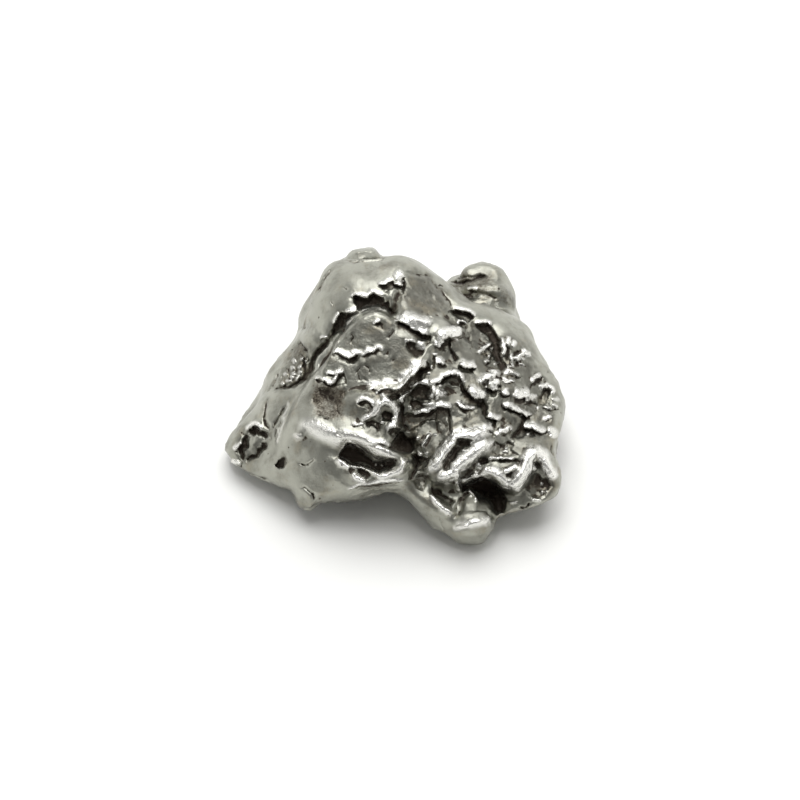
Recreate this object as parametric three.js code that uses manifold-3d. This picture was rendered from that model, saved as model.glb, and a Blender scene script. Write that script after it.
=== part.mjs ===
// A small iron meteorite: one solid lump of nickel-iron, melted, pitted and worn smooth on its high places.
// Millimetres, +Z up. It lies on a flat surface at z = 0, with its origin under the middle of its box.
//
// Its show face looks towards -Y and up. Points on that face are given as (u, v) in a plane square to the
// face's axis: u runs to the right along +X, v up the face, and a third length, w, out along the axis.

import * as THREE from 'three';
import { mergeVertices } from 'three/addons/utils/BufferGeometryUtils.js';
import { ImprovedNoise } from 'three/addons/math/ImprovedNoise.js';
import Module from 'manifold-3d';

// Driving dimensions, in millimetres unless another unit is named.
const FACE_ELEVATION = 48; // degrees from the table up to the show face's axis
const RIM_DEPTH = 8; // where the middle of the outline lies along the face's axis
const FACE_CROWN = 6; // how far the face swells out in front of the outline
const BELLY_DEPTH = 13; // how far the hidden side reaches behind it, before the table stops it
const SPHERE_DETAIL = 17; // the sphere that is shaped has 20 * (detail + 1)^2 triangles
const FACE_DRAW = 0.3; // radians by which vertices are drawn over to the face, where the relief is
const RIM_SAMPLES = 720;
const RIM_BLUR = 26; // degrees each way over which the outline is evened out towards the middle
const RIM_HOLD = 4; // power with which the true outline takes over from the even one
const FACE_EDGE = 0.2; // share of the crown over which the relief fades out at the outline

// The outline of the show face, clockwise from the left tip: u, v and the height above the table.
const OUTLINE = [
  [-14.5, -4.0, 1.3], // left tip
  [-13.8, -2.7, 1.8],
  [-12.5, -1.1, 2.6],
  [-11.2, 0.2, 3.4],
  [-10.6, 1.3, 4.2],
  [-9.2, 3.8, 5.6],
  [-8.4, 5.2, 6.6],
  [-7.5, 7.7, 8.6],
  [-6.6, 10.0, 10.2],
  [-5.8, 11.05, 10.8], // left end of the crest
  [-4.0, 11.4, 11.4],
  [-1.6, 11.6, 11.9],
  [0.4, 11.85, 12.2], // top of the crest
  [1.6, 11.3, 11.6],
  [2.8, 10.4, 10.6],
  [3.8, 9.6, 9.8],
  [4.8, 8.75, 9.2], // right shoulder, in front of the back lump
  [6.2, 8.15, 8.5],
  [8.0, 7.75, 7.4],
  [9.2, 7.1, 6.8],
  [9.9, 6.2, 6.5],
  [10.6, 5.3, 6.4],
  [11.4, 4.0, 6.0],
  [12.5, 1.7, 5.2],
  [13.1, 0.2, 4.6],
  [13.35, -1.2, 4.2], // right side
  [13.0, -2.9, 3.8],
  [12.2, -3.9, 3.8], // notch above the right knob
  [12.5, -4.8, 3.6],
  [13.1, -6.2, 3.2],
  [12.6, -7.6, 2.8],
  [11.4, -8.6, 2.4],
  [9.8, -9.1, 2.2],
  [8.3, -9.45, 1.9],
  [7.2, -9.7, 1.6],
  [6.0, -10.5, 1.0],
  [4.8, -11.1, 0.8], // neck of the front foot
  [3.6, -10.9, 0.9],
  [2.2, -10.0, 1.4],
  [1.0, -8.7, 2.2],
  [0.1, -7.6, 2.8], // where the foot leaves the overhang
  [-1.6, -7.5, 3.0],
  [-4.0, -8.0, 2.6],
  [-6.4, -8.3, 1.8],
  [-7.2, -9.1, 1.2], // drip
  [-7.8, -8.8, 1.2],
  [-8.5, -8.0, 1.4],
  [-10.6, -6.7, 1.2],
  [-12.7, -6.0, 0.9],
  [-13.9, -5.1, 0.9],
];

// Areas of the face that stand above or below what is round them: their corners, and how softly they step.
const TERRACES = [
  {
    name: 'upper panel', rise: -0.45, soft: 0.8,
    corners: [
      [0.3, 10.1], [1.4, 10.2], [2.5, 9.9], [3.3, 9.0], [4.0, 8.0], [4.2, 7.0], [3.0, 6.6], [0.6, 7.2], [0.0, 8.4],
    ],
  },
  {
    name: 'rough field', rise: -0.6, soft: 1.1,
    corners: [
      [4.3, 7.2], [5.6, 6.9], [6.1, 6.3], [7.2, 6.25], [7.75, 5.3], [7.95, 4.1], [8.4, 2.7], [9.5, 2.4], [11.4, 2.2],
      [12.1, 0.8], [12.3, -1.5], [11.7, -3.2], [9.5, -3.2], [7.4, -3.4], [6.5, -2.6], [4.6, -2.9], [2.6, -4.9],
      [1.6, -5.0], [0.6, -2.9], [0.4, -1.0], [0.9, 0.6], [2.0, 2.2], [2.6, 3.4], [2.7, 4.6], [4.0, 5.6],
    ],
  },
  {
    name: 'sunken floor', rise: -0.5, soft: 0.9,
    corners: [[0.7, -0.9], [2.2, -1.2], [3.9, -0.6], [4.0, -2.4], [2.9, -3.6], [1.4, -3.9], [0.6, -2.6]],
  },
  {
    name: 'leaf pit', rise: -1.4, soft: 0.9,
    corners: [
      [-5.0, -4.4], [-4.2, -3.3], [-3.5, -3.5], [-2.4, -4.4], [-0.3, -4.9], [-1.3, -5.7], [-3.0, -5.3], [-4.1, -5.1],
    ],
  },
  {
    name: 'cave', rise: -2.6, soft: 1.3,
    corners: [
      [5.0, -6.8], [6.2, -6.1], [7.0, -6.4], [8.7, -7.6], [9.2, -8.1], [8.7, -8.8], [8.2, -9.3], [7.4, -9.1],
      [7.1, -8.3], [6.2, -7.6],
    ],
  },
  {
    name: 'knob pit', rise: -1.1, soft: 1.0,
    corners: [[9.9, -7.0], [10.6, -5.9], [11.1, -4.8], [11.7, -5.7], [12.2, -6.7], [11.9, -7.5], [11.0, -8.0]],
  },
  {
    name: 'striped hollow', rise: -0.8, soft: 0.9,
    corners: [[7.2, -3.7], [8.9, -3.5], [9.1, -4.9], [7.2, -5.0]],
  },
  {
    name: 'left crater', rise: -0.9, soft: 1.1,
    corners: [[-12.9, -2.6], [-11.4, -2.1], [-10.6, -3.0], [-10.9, -4.4], [-12.3, -5.0], [-13.1, -4.0]],
  },
  {
    name: 'left pocket', rise: -0.5, soft: 1.0,
    corners: [[-8.2, 4.5], [-7.3, 3.8], [-7.4, 2.4], [-8.6, 1.1], [-9.9, 0.9], [-9.1, 2.6]],
  },
];

// Lines along which the face is raised or cut, with half the width of each.
const SEAMS = [
  { name: 'bulge ridge', rise: 0.55, reach: 1.4,
    path: [[-8.2, -1.7], [-7.0, -1.7], [-5.2, -2.4], [-3.5, -2.7], [-2.3, -3.3], [-1.0, -4.0], [0.0, -4.6]] },
  { name: 'lip under the leaf', rise: 0.4, reach: 0.9,
    path: [[-5.0, -4.8], [-4.0, -5.5], [-3.4, -6.3], [-2.6, -6.4], [-1.6, -6.1], [0.2, -5.8], [0.8, -4.9], [0.2, -4.5]] },
  { name: 'outer ridge', rise: 0.55, reach: 0.9,
    path: [[2.0, -5.5], [3.2, -4.9], [3.8, -3.9], [4.4, -3.1], [5.6, -2.8], [7.1, -2.4]] },
  { name: 'inner ridge', rise: 0.55, reach: 0.9,
    path: [[2.7, -6.4], [4.2, -6.0], [4.9, -5.2], [5.8, -4.4], [7.0, -3.8]] },
  { name: 'knob ridge', rise: 0.5, reach: 0.9,
    path: [[7.0, -5.9], [8.0, -6.4], [9.0, -6.9], [9.7, -6.0], [10.2, -4.8], [10.8, -4.0]] },
  { name: 'knob edge', rise: 0.45, reach: 0.9, path: [[11.2, -4.2], [11.8, -5.2], [12.4, -6.3]] },
  { name: 'foot edge', rise: 0.3, reach: 0.9, path: [[4.1, -10.2], [5.5, -10.0], [7.2, -9.7]] },
  { name: 'foot neck', rise: -1.3, reach: 1.3, path: [[3.4, -7.5], [4.6, -8.0], [6.0, -8.0], [7.2, -8.4]] },
  { name: 'foot ridge', rise: 0.4, reach: 0.9, path: [[2.6, -7.6], [3.4, -8.4], [4.2, -9.2]] },
  { name: 'plate edge', rise: 0.35, reach: 1.12,
    path: [[-8.9, -0.6], [-7.3, 1.9], [-5.9, 4.3], [-4.6, 5.6], [-3.4, 6.7], [-2.2, 7.1], [-1.1, 6.8], [0.2, 5.8]] },
  { name: 'fold', rise: 0.4, reach: 0.9, path: [[-2.2, 0.8], [-0.4, 1.2], [0.6, 2.0], [1.4, 2.7]] },
  { name: 'ribbon', rise: 0.4, reach: 0.9, path: [[-3.2, 0.0], [-1.8, -0.4], [-0.6, 0.0], [-0.2, -1.0], [-0.6, -2.2]] },
  { name: 'arch', rise: 0.4, reach: 0.9, path: [[1.0, 1.2], [2.4, 1.6], [3.6, 2.2], [4.6, 2.3], [5.3, 1.4]] },
  { name: 'saddle', rise: 0.45, reach: 1.26, path: [[0.6, 6.7], [2.0, 6.1], [3.4, 5.4], [4.4, 5.2]] },
  { name: 'crumpled rise', rise: 0.45, reach: 1.12, path: [[5.8, 0.6], [6.5, 1.4], [7.6, 1.7], [8.8, 0.8], [10.2, 0.7]] },
  { name: 'trench', rise: -1.2, reach: 1.12,
    path: [[-7.0, 3.4], [-5.9, 5.0], [-4.7, 6.4], [-3.3, 7.6], [-1.8, 8.0], [-0.7, 7.5], [0.4, 6.4], [1.6, 5.5]] },
  { name: 'crevice', rise: -1.5, reach: 1.05,
    path: [[2.3, 2.9], [1.5, 1.4], [0.6, 0.5], [0.25, -0.6], [0.4, -1.9], [0.4, -3.2], [0.8, -4.2], [1.4, -5.2], [1.7, -6.8]] },
  { name: 'left valley', rise: -0.8, reach: 1.12,
    path: [[-6.5, 4.3], [-7.5, 2.4], [-8.5, 0.8], [-9.3, -0.6], [-10.1, -2.0], [-10.5, -3.4], [-11.0, -4.6], [-12.6, -5.5]] },
  { name: 'long pit', rise: -0.8, reach: 0.9, path: [[3.5, -5.5], [3.8, -4.8], [4.6, -3.9], [5.5, -3.3]] },
  { name: 'brown pit', rise: -1.0, reach: 0.9, path: [[5.1, -6.2], [5.8, -5.4], [6.7, -4.8]] },
  { name: 'ledge shadow', rise: -0.7, reach: 0.9, path: [[3.6, 8.4], [4.3, 7.2], [5.0, 6.8], [5.6, 6.5]] },
  { name: 'field wall', rise: -0.9, reach: 0.98, path: [[6.2, 5.9], [7.1, 5.8], [7.6, 4.9], [7.8, 3.6], [8.3, 2.7]] },
  { name: 'shelf groove', rise: -0.6, reach: 0.9, path: [[4.2, 9.7], [5.4, 9.7], [6.9, 9.9]] },
  { name: 'lower shelf groove', rise: -0.6, reach: 0.9, path: [[5.2, 8.6], [6.4, 8.7], [7.8, 8.2]] },
];

// Round pits in the face: where each is, its radius and its depth.
const PITS = [
  { at: [1.5, 0.6], radius: 1.12, depth: 0.9 },
  { at: [1.3, -0.6], radius: 0.88, depth: 0.6 },
  { at: [4.1, 1.4], radius: 1.12, depth: 0.7 },
  { at: [1.4, 4.2], radius: 1.12, depth: 0.6 },
  { at: [3.9, 4.3], radius: 1.0, depth: 0.5 },
  { at: [6.6, -0.7], radius: 0.88, depth: 0.6 },
  { at: [7.1, 0.8], radius: 0.88, depth: 0.5 },
  { at: [7.4, -1.8], radius: 0.75, depth: 0.5 },
  { at: [9.5, -2.7], radius: 1.12, depth: 0.8 },
  { at: [10.6, -0.5], radius: 1.0, depth: 0.6 },
  { at: [11.6, 0.4], radius: 0.88, depth: 0.6 },
  { at: [9.4, 3.6], radius: 1.0, depth: 0.5 },
  { at: [0.1, -3.4], radius: 1.12, depth: 0.8 },
  { at: [-1.0, -1.4], radius: 0.88, depth: 0.6 },
  { at: [-5.3, 1.4], radius: 1.38, depth: 0.5 },
  { at: [-5.6, 0.1], radius: 1.5, depth: 0.35 },
  { at: [3.2, -7.6], radius: 1.12, depth: 0.9 },
  { at: [-2.9, -5.8], radius: 0.62, depth: 0.5 },
];

// Lumps grown on to the body: the middle of each as u, v, w, its radii along the same axes, and how uneven it is.
const LUMPS = [
  { name: 'back lump', at: [6.3, 7.3, -1.2], radii: [3.35, 3.5, 4.0], detail: 8, roll: 0.25 },
  { name: 'crest knob', at: [-2.85, 10.9, 2.8], radii: [1.7, 1.5, 2.2], detail: 4, roll: 0.15 },
  { name: 'front foot', at: [5.65, -9.65, 11.3], radii: [2.0, 2.2, 2.3], detail: 5, roll: 0.15 },
];
const CREASE_EVENING = 5;

// What the hidden sides have: broad swells given as u, v, w, rolling lumps, and thumbprint hollows spread evenly by
// the golden angle.
const SWELLS = [
  { at: [5.5, 6.0, -2.0], radius: 6.0, rise: 2.2 },
  { at: [-2.8, 10.5, 1.0], radius: 3.6, rise: 1.2 },
  { at: [-5.5, 6.0, 0.0], radius: 5.0, rise: 1.4 },
  { at: [1.0, 9.0, 0.0], radius: 4.0, rise: 1.3 },
  { at: [9.5, 2.5, 0.0], radius: 4.5, rise: 1.2 },
  { at: [-9.5, 0.5, 2.0], radius: 3.5, rise: 0.9 },
  { at: [11.5, -4.0, 5.0], radius: 3.5, rise: 0.8 },
];
const ROLL = { size: 4.5, height: 0.9 };
const THUMBPRINTS = { count: 60, radius: [1.5, 3.0], depth: 0.38 }; // depth as a share of the radius

// The underside: clear of the table, arched under the overhang, and standing on worn feet, in x and y measured
// before the origin is moved to the middle of the box. The front foot is one of the lumps.
const BELLY_GAP = 1.0;
const BELLY_ROLL = { size: 3.6, height: 0.7 };
const ARCHES = [
  { at: [-3.0, -8.5], radius: 5.5, lift: 2.2 },
  { at: [10.0, -8.5], radius: 4.5, lift: 1.2 },
];
const FEET = [
  { name: 'rear foot', at: [1.0, 1.5], radius: 3.4 },
  { name: 'left foot', at: [-11.0, -5.2], radius: 1.6 },
];
const FOOT_SHOULDER = 3.4;
const BELLY_ROUND = 2.0; // over which the sides turn under into the belly
const BELLY_EVENING = 4;
const FACE_EVENING = 2;

const { clamp, lerp, smoothstep, degToRad } = THREE.MathUtils;
const elevation = degToRad(FACE_ELEVATION);
const noise = new ImprovedNoise();
const wasm = await Module();
wasm.setup();

// From the face's own axes, (u, v, w), to the part's, (x, y, z).
const faceAxes = new THREE.Matrix4().makeBasis(
  new THREE.Vector3(1, 0, 0),
  new THREE.Vector3(0, Math.sin(elevation), Math.cos(elevation)),
  new THREE.Vector3(0, -Math.cos(elevation), Math.sin(elevation)),
);

// How far out along the face's axis a point of the outline lies, from its height above the table.
const depthAtHeight = (v, height) => (height - v * Math.cos(elevation)) / Math.sin(elevation);

// The outline as a closed curve in (u, v, w), and the same evened out, both read by the angle round the axis.
function makeRim() {
  const curve = new THREE.CatmullRomCurve3(
    OUTLINE.map(([u, v, height]) => new THREE.Vector3(u, v, depthAtHeight(v, height))), true, 'centripetal',
  );
  const samples = curve.getSpacedPoints(RIM_SAMPLES)
    .map((point) => ({ point, angle: Math.atan2(point.y, point.x) }))
    .sort((a, b) => a.angle - b.angle);
  const at = (angle) => {
    let after = samples.findIndex((sample) => sample.angle > angle);
    if (after < 0) after = 0;
    const next = samples[after];
    const last = samples[(after + samples.length - 1) % samples.length];
    const turn = 2 * Math.PI;
    const span = (next.angle - last.angle + turn) % turn || 1;
    return last.point.clone().lerp(next.point, ((angle - last.angle + turn) % turn) / span);
  };
  const steps = Array.from({ length: RIM_SAMPLES }, (_, i) => ((i + 0.5) / RIM_SAMPLES * 2 - 1) * Math.PI);
  const sharp = steps.map(at);
  const blur = Math.round(RIM_BLUR / 360 * RIM_SAMPLES);
  const even = sharp.map((_, i) => {
    const sum = new THREE.Vector3();
    for (let k = -blur; k <= blur; k++) sum.add(sharp[(i + k + RIM_SAMPLES) % RIM_SAMPLES]);
    return sum.divideScalar(2 * blur + 1);
  });
  const read = (table, angle) => {
    const place = (angle / Math.PI + 1) / 2 * RIM_SAMPLES - 0.5 + RIM_SAMPLES;
    const low = Math.floor(place);
    return table[low % RIM_SAMPLES].clone().lerp(table[(low + 1) % RIM_SAMPLES], place - low);
  };
  return { sharp: (angle) => read(sharp, angle), even: (angle) => read(even, angle) };
}

// The plain form: a sphere's direction becomes a point of a crowned pad that keeps to the outline.
function padPoint(direction, rim) {
  const straight = Math.acos(clamp(direction.z, -1, 1));
  const polar = straight - FACE_DRAW * Math.sin(straight);
  const angle = Math.atan2(direction.y, direction.x);
  const reach = Math.sin(polar);
  const crown = Math.cos(polar);
  const edge = rim.even(angle).lerp(rim.sharp(angle), reach ** RIM_HOLD);
  const swell = crown * (crown > 0 ? FACE_CROWN : BELLY_DEPTH);
  return {
    point: new THREE.Vector3(edge.x * reach, edge.y * reach, lerp(RIM_DEPTH, edge.z, reach ** 2) + swell),
    onFace: smoothstep(crown, 0, FACE_EDGE),
  };
}

// Distance from (u, v) to a chain of straight stretches.
function distanceToPath(u, v, path, closed = false) {
  let least = Infinity;
  for (let i = closed ? 0 : 1; i < path.length; i++) {
    const [au, av] = path[(i + path.length - 1) % path.length];
    const [bu, bv] = path[i];
    const along = ((u - au) * (bu - au) + (v - av) * (bv - av)) / ((bu - au) ** 2 + (bv - av) ** 2);
    const t = clamp(along, 0, 1);
    least = Math.min(least, Math.hypot(u - au - t * (bu - au), v - av - t * (bv - av)));
  }
  return least;
}

function isInside(u, v, corners) {
  let inside = false;
  corners.forEach(([au, av], i) => {
    const [bu, bv] = corners[(i + 1) % corners.length];
    if ((av > v) !== (bv > v) && u < (bu - au) * (v - av) / (bv - av) + au) inside = !inside;
  });
  return inside;
}

// How far (u, v) lies within an area, from 0 outside it to 1 inside, over a soft edge.
function withinArea(u, v, { corners, soft }) {
  const away = distanceToPath(u, v, corners, true) * (isInside(u, v, corners) ? 1 : -1);
  return smoothstep(away, -soft / 2, soft / 2);
}

// How far the face is raised at (u, v) by its terraces, seams and pits.
function reliefAt(u, v) {
  let rise = 0;
  for (const terrace of TERRACES) rise += terrace.rise * withinArea(u, v, terrace);
  for (const seam of SEAMS) {
    rise += seam.rise * (1 - smoothstep(distanceToPath(u, v, seam.path), 0, seam.reach));
  }
  for (const pit of PITS) {
    rise -= pit.depth * (1 - smoothstep(Math.hypot(u - pit.at[0], v - pit.at[1]), 0, pit.radius));
  }
  return rise;
}

// Unit directions spread evenly over a sphere.
function spreadDirection(i, count) {
  const z = 1 - 2 * (i + 0.5) / count;
  const turn = i * Math.PI * (3 - Math.sqrt(5));
  return new THREE.Vector3(Math.cos(turn) * Math.sqrt(1 - z * z), Math.sin(turn) * Math.sqrt(1 - z * z), z);
}

// How far a point of a hidden side is raised by the swells, the rolling lumps and the thumbprints round it.
function rollAt(point, prints) {
  const { size, height } = ROLL;
  let rise = height * noise.noise(point.x / size, point.y / size, point.z / size);
  for (const swell of SWELLS) {
    rise += swell.rise * (1 - smoothstep(point.distanceTo(new THREE.Vector3(...swell.at)), 0, swell.radius));
  }
  for (const { point: middle, radius } of prints) {
    rise -= THUMBPRINTS.depth * radius * (1 - smoothstep(point.distanceTo(middle), 0, radius));
  }
  return rise;
}

// The height that the underside keeps to over the table at x, y.
function gapAt(x, y) {
  const { size, height } = BELLY_ROLL;
  const roll = noise.noise(x / size, y / size, 0.5);
  let gap = BELLY_GAP + height * roll;
  for (const arch of ARCHES) {
    gap += arch.lift * (1 - smoothstep(Math.hypot(x - arch.at[0], y - arch.at[1]), 0, arch.radius));
  }
  for (const foot of FEET) {
    const away = Math.hypot(x - foot.at[0], y - foot.at[1]) + roll;
    gap *= smoothstep(away, foot.radius, foot.radius + FOOT_SHOULDER);
  }
  return gap;
}

// The greater of two heights, rounded off over the given span.
function roundedMax(a, b, span) {
  if (span < 1e-6) return Math.max(a, b);
  const share = clamp(0.5 + 0.5 * (a - b) / span, 0, 1);
  return lerp(b, a, share) + span * share * (1 - share);
}

// Moves each vertex half way to the mean of its neighbours, by the share that may says.
function evenOut(position, index, may) {
  const sums = Array.from({ length: position.count }, () => ({ sum: new THREE.Vector3(), count: 0 }));
  const point = new THREE.Vector3();
  for (let i = 0; i < index.count; i += 3) {
    for (let k = 0; k < 3; k++) {
      const here = sums[index.getX(i + k)];
      here.sum.add(point.fromBufferAttribute(position, index.getX(i + (k + 1) % 3)));
      here.count += 1;
    }
  }
  sums.forEach(({ sum, count }, i) => {
    point.fromBufferAttribute(position, i).lerp(sum.divideScalar(count), 0.5 * may[i]);
    position.setXYZ(i, point.x, point.y, point.z);
  });
}

// A sphere of radius 1 with one vertex at each corner.
function makeSphere(detail) {
  const sphere = new THREE.IcosahedronGeometry(1, detail);
  sphere.deleteAttribute('normal');
  sphere.deleteAttribute('uv');
  return mergeVertices(sphere);
}

function makeBody() {
  const geometry = makeSphere(SPHERE_DETAIL);
  const { position } = geometry.attributes;
  const rim = makeRim();

  // The plain form, whose normals the relief then follows.
  const onFace = [];
  for (let i = 0; i < position.count; i++) {
    const pad = padPoint(new THREE.Vector3().fromBufferAttribute(position, i).normalize(), rim);
    onFace.push(pad.onFace);
    position.setXYZ(i, pad.point.x, pad.point.y, pad.point.z);
  }
  geometry.computeVertexNormals();
  const normal = geometry.attributes.normal.clone();

  // Relief on the face, rolling lumps and thumbprints on the hidden sides.
  const prints = Array.from({ length: THUMBPRINTS.count }, (_, i) => ({
    point: padPoint(spreadDirection(i, THUMBPRINTS.count), rim).point,
    radius: lerp(...THUMBPRINTS.radius, (i * 0.618) % 1),
  }));
  const moved = new THREE.Vector3();
  const outward = new THREE.Vector3();
  for (let i = 0; i < position.count; i++) {
    moved.fromBufferAttribute(position, i);
    outward.fromBufferAttribute(normal, i);
    const rise = lerp(rollAt(moved, prints), reliefAt(moved.x, moved.y), onFace[i]);
    moved.addScaledVector(outward, rise);
    position.setXYZ(i, moved.x, moved.y, moved.z);
  }
  for (let pass = 0; pass < FACE_EVENING; pass++) evenOut(position, geometry.index, onFace);

  // Laid on the table: the underside is stopped above it, and only the feet reach down to it.
  geometry.applyMatrix4(faceAxes);
  const onBelly = [];
  for (let i = 0; i < position.count; i++) {
    const gap = gapAt(position.getX(i), position.getY(i));
    const span = BELLY_ROUND * Math.min(1, 2 * gap) * (1 - onFace[i]);
    onBelly.push(gap > 0 && position.getZ(i) < gap + span ? 1 - onFace[i] : 0);
    position.setZ(i, roundedMax(position.getZ(i), gap, span));
  }
  for (let pass = 0; pass < BELLY_EVENING; pass++) evenOut(position, geometry.index, onBelly);

  return geometry;
}

// One of the lumps, with the same relief on the side that it shows, and flat where it meets the table.
function makeLump({ at, radii, detail, roll }) {
  const geometry = makeSphere(detail);
  const { position } = geometry.attributes;
  const middle = new THREE.Vector3(...at);
  const size = new THREE.Vector3(...radii);
  const direction = new THREE.Vector3();
  const point = new THREE.Vector3();
  for (let i = 0; i < position.count; i++) {
    direction.fromBufferAttribute(position, i).normalize();
    const uneven = 1 + roll * noise.noise(1.6 * direction.x + at[0], 1.6 * direction.y + at[1], 1.6 * direction.z);
    point.copy(direction).multiply(size).multiplyScalar(uneven).add(middle);
    point.addScaledVector(direction, reliefAt(point.x, point.y) * smoothstep(direction.z, 0, 0.6));
    position.setXYZ(i, point.x, point.y, point.z);
  }
  geometry.applyMatrix4(faceAxes);
  for (let i = 0; i < position.count; i++) position.setZ(i, Math.max(position.getZ(i), 0));
  return geometry;
}

function toSolid(geometry) {
  return new wasm.Manifold(new wasm.Mesh({
    numProp: 3,
    vertProperties: new Float32Array(geometry.attributes.position.array),
    triVerts: new Uint32Array(geometry.index.array),
  }));
}

// Body and lumps as one solid, with the origin on the table under the middle of its box.
function makeMeteorite() {
  let solid = toSolid(makeBody());
  for (const lump of LUMPS) solid = solid.add(toSolid(makeLump(lump)));
  const joined = solid.getMesh();
  const geometry = new THREE.BufferGeometry();
  geometry.setAttribute('position', new THREE.BufferAttribute(joined.vertProperties, joined.numProp));
  geometry.setIndex(new THREE.BufferAttribute(joined.triVerts, 1));
  geometry.computeVertexNormals();

  // Lumps and body have run together on the hidden sides. Their creases on the face stay sharp, and the feet flat.
  const { position, normal } = geometry.attributes;
  const axis = new THREE.Vector3().setFromMatrixColumn(faceAxes, 2);
  const hidden = Array.from({ length: position.count }, (_, i) => {
    const away = -axis.dot(new THREE.Vector3().fromBufferAttribute(normal, i));
    return position.getZ(i) > 0 ? smoothstep(away, 0.05, 0.4) : 0;
  });
  for (let pass = 0; pass < CREASE_EVENING; pass++) evenOut(position, geometry.index, hidden);
  geometry.computeBoundingBox();
  const middle = geometry.boundingBox.getCenter(new THREE.Vector3());
  geometry.translate(-middle.x, -middle.y, -geometry.boundingBox.min.z);
  geometry.computeVertexNormals();

  const iron = new THREE.MeshStandardMaterial({ color: 0x8a8880, metalness: 1.0, roughness: 0.32 });
  const mesh = new THREE.Mesh(geometry, iron);
  mesh.name = 'meteorite';
  return mesh;
}

const part = new THREE.Group();
part.add(makeMeteorite());
export default part;
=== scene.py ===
import math

import bmesh
import bpy
import numpy as np
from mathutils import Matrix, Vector, noise


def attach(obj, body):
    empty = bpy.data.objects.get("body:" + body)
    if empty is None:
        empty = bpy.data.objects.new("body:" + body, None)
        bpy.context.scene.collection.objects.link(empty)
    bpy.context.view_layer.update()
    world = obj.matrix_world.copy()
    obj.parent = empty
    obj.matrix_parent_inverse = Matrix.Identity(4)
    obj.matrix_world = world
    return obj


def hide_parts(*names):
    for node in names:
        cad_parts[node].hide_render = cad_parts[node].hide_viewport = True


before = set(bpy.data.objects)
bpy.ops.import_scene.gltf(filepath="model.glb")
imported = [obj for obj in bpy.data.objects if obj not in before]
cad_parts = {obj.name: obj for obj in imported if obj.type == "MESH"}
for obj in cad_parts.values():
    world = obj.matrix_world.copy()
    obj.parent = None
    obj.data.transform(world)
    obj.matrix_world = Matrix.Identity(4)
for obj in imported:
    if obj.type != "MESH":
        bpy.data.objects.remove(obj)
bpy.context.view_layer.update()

mm = 0.001
noise.seed_set(4)  # the same wander on every run

# The show face looks up and towards -Y. Strokes on it are placed by u (right) and v (up) in mm, in a plane
# square to that direction, with u = v = 0 at the middle of the camera's view.
face = {
    "elevation": 48.0,  # degrees above the table
    "right": -0.430,    # mm from the part's origin to the plane's own
    "back": -3.472,
}
tilt = math.radians(face["elevation"])
faceAxis = np.array([0.0, -math.cos(tilt), math.sin(tilt)])


def toFace(points):
    # part coordinates in mm to u, v and w, which runs out along the face's axis
    back = points[:, 1] + face["back"]
    return np.stack([
        points[:, 0] + face["right"],
        back * math.sin(tilt) + points[:, 2] * math.cos(tilt),
        points[:, 2] * math.sin(tilt) - back * math.cos(tilt),
    ], axis=1)


def fromFace(u, v, w):
    back = v * math.sin(tilt) - w * math.cos(tilt)
    return Vector((u - face["right"], back - face["back"], v * math.cos(tilt) + w * math.sin(tilt))) * mm


def step(low, high, values):
    t = np.clip((values - low) / (high - low), 0.0, 1.0)
    return t * t * (3.0 - 2.0 * t)


def hexColor(code):
    # sRGB hex to the linear colour that shaders take
    parts = [int(code[i:i + 2], 16) / 255 for i in (1, 3, 5)]
    return tuple(c / 12.92 if c <= 0.04045 else ((c + 0.055) / 1.055) ** 2.4 for c in parts) + (1.0,)


def addNode(tree, kind, settings=None, **sockets):
    # one node with its settings; a socket takes a value, or another node's output
    node = tree.nodes.new(kind)
    for name, value in (settings or {}).items():
        setattr(node, name, value)
    for name, value in sockets.items():
        key = int(name[1:]) if name[0] == "i" and name[1:].isdigit() else name.replace("_", " ")
        if isinstance(value, bpy.types.NodeSocket):
            tree.links.new(value, node.inputs[key])
        else:
            node.inputs[key].default_value = value
    return node


# The lump itself: how finely it is cut, and how rough its skin is, in mm. Where a pattern has two values, they are
# its size and its amount.
lump = {
    "weld": 0.004,
    "edges": (0.14, 0.24, 0.33),  # longest edge where strokes are, on the rest of the face, and on the other sides
    "smoothings": (3, 3, 2, 1),   # passes after each cut
    "floor": 0.02,                # what lies lower than this rests on the table
    "floorFade": (0.3, 1.6),      # heights over which the other sides' shapes come in above it
    "softening": 30,              # passes that wear a knob round
    "warp": (0.7, 0.12),          # the wander that keeps strokes from looking drawn
    "flatReach": (1.6, 2.6),      # a flat lets go of what lies this far from it
    "patches": 5.5,               # size of the more and less broken places on the other sides
    "waves": (2.3, 0.07),         # slow unevenness of the worn skin
    "dents": (0.95, 0.016),       # and what lies on top of it
    "thumbs": (3.2, 0.46),        # wide thumbprints on the sides away from the face
    "folds": (1.7, 0.30),         # crumpled metal there, with oxide between its edges
    "dimples": (1.5, 0.16),       # shallow cups that meet in rounded edges, in the rough places
    "grit": (0.75, 0.05),
    "grain": (0.3, 0.012),
    "faceShare": 0.55,            # how much of that roughness the face keeps under its strokes
    "ridgeWidth": 1.2,            # ridges as drawn, made broader by this
    "pitGrain": (0.35, 0.09),     # on the floors of pits
    "crumple": (0.32, 0.06),      # on what is rubbed bright
    "foldedEdge": 2.0,            # radians; an edge of the face bent more than this is folded
    "thornEdge": 0.75,            # and on the other sides this much is a thorn
    "relaxings": 6,
    "nearPasses": 10,             # how far round it each place is compared with its surroundings
    "widePasses": 160,
}

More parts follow.
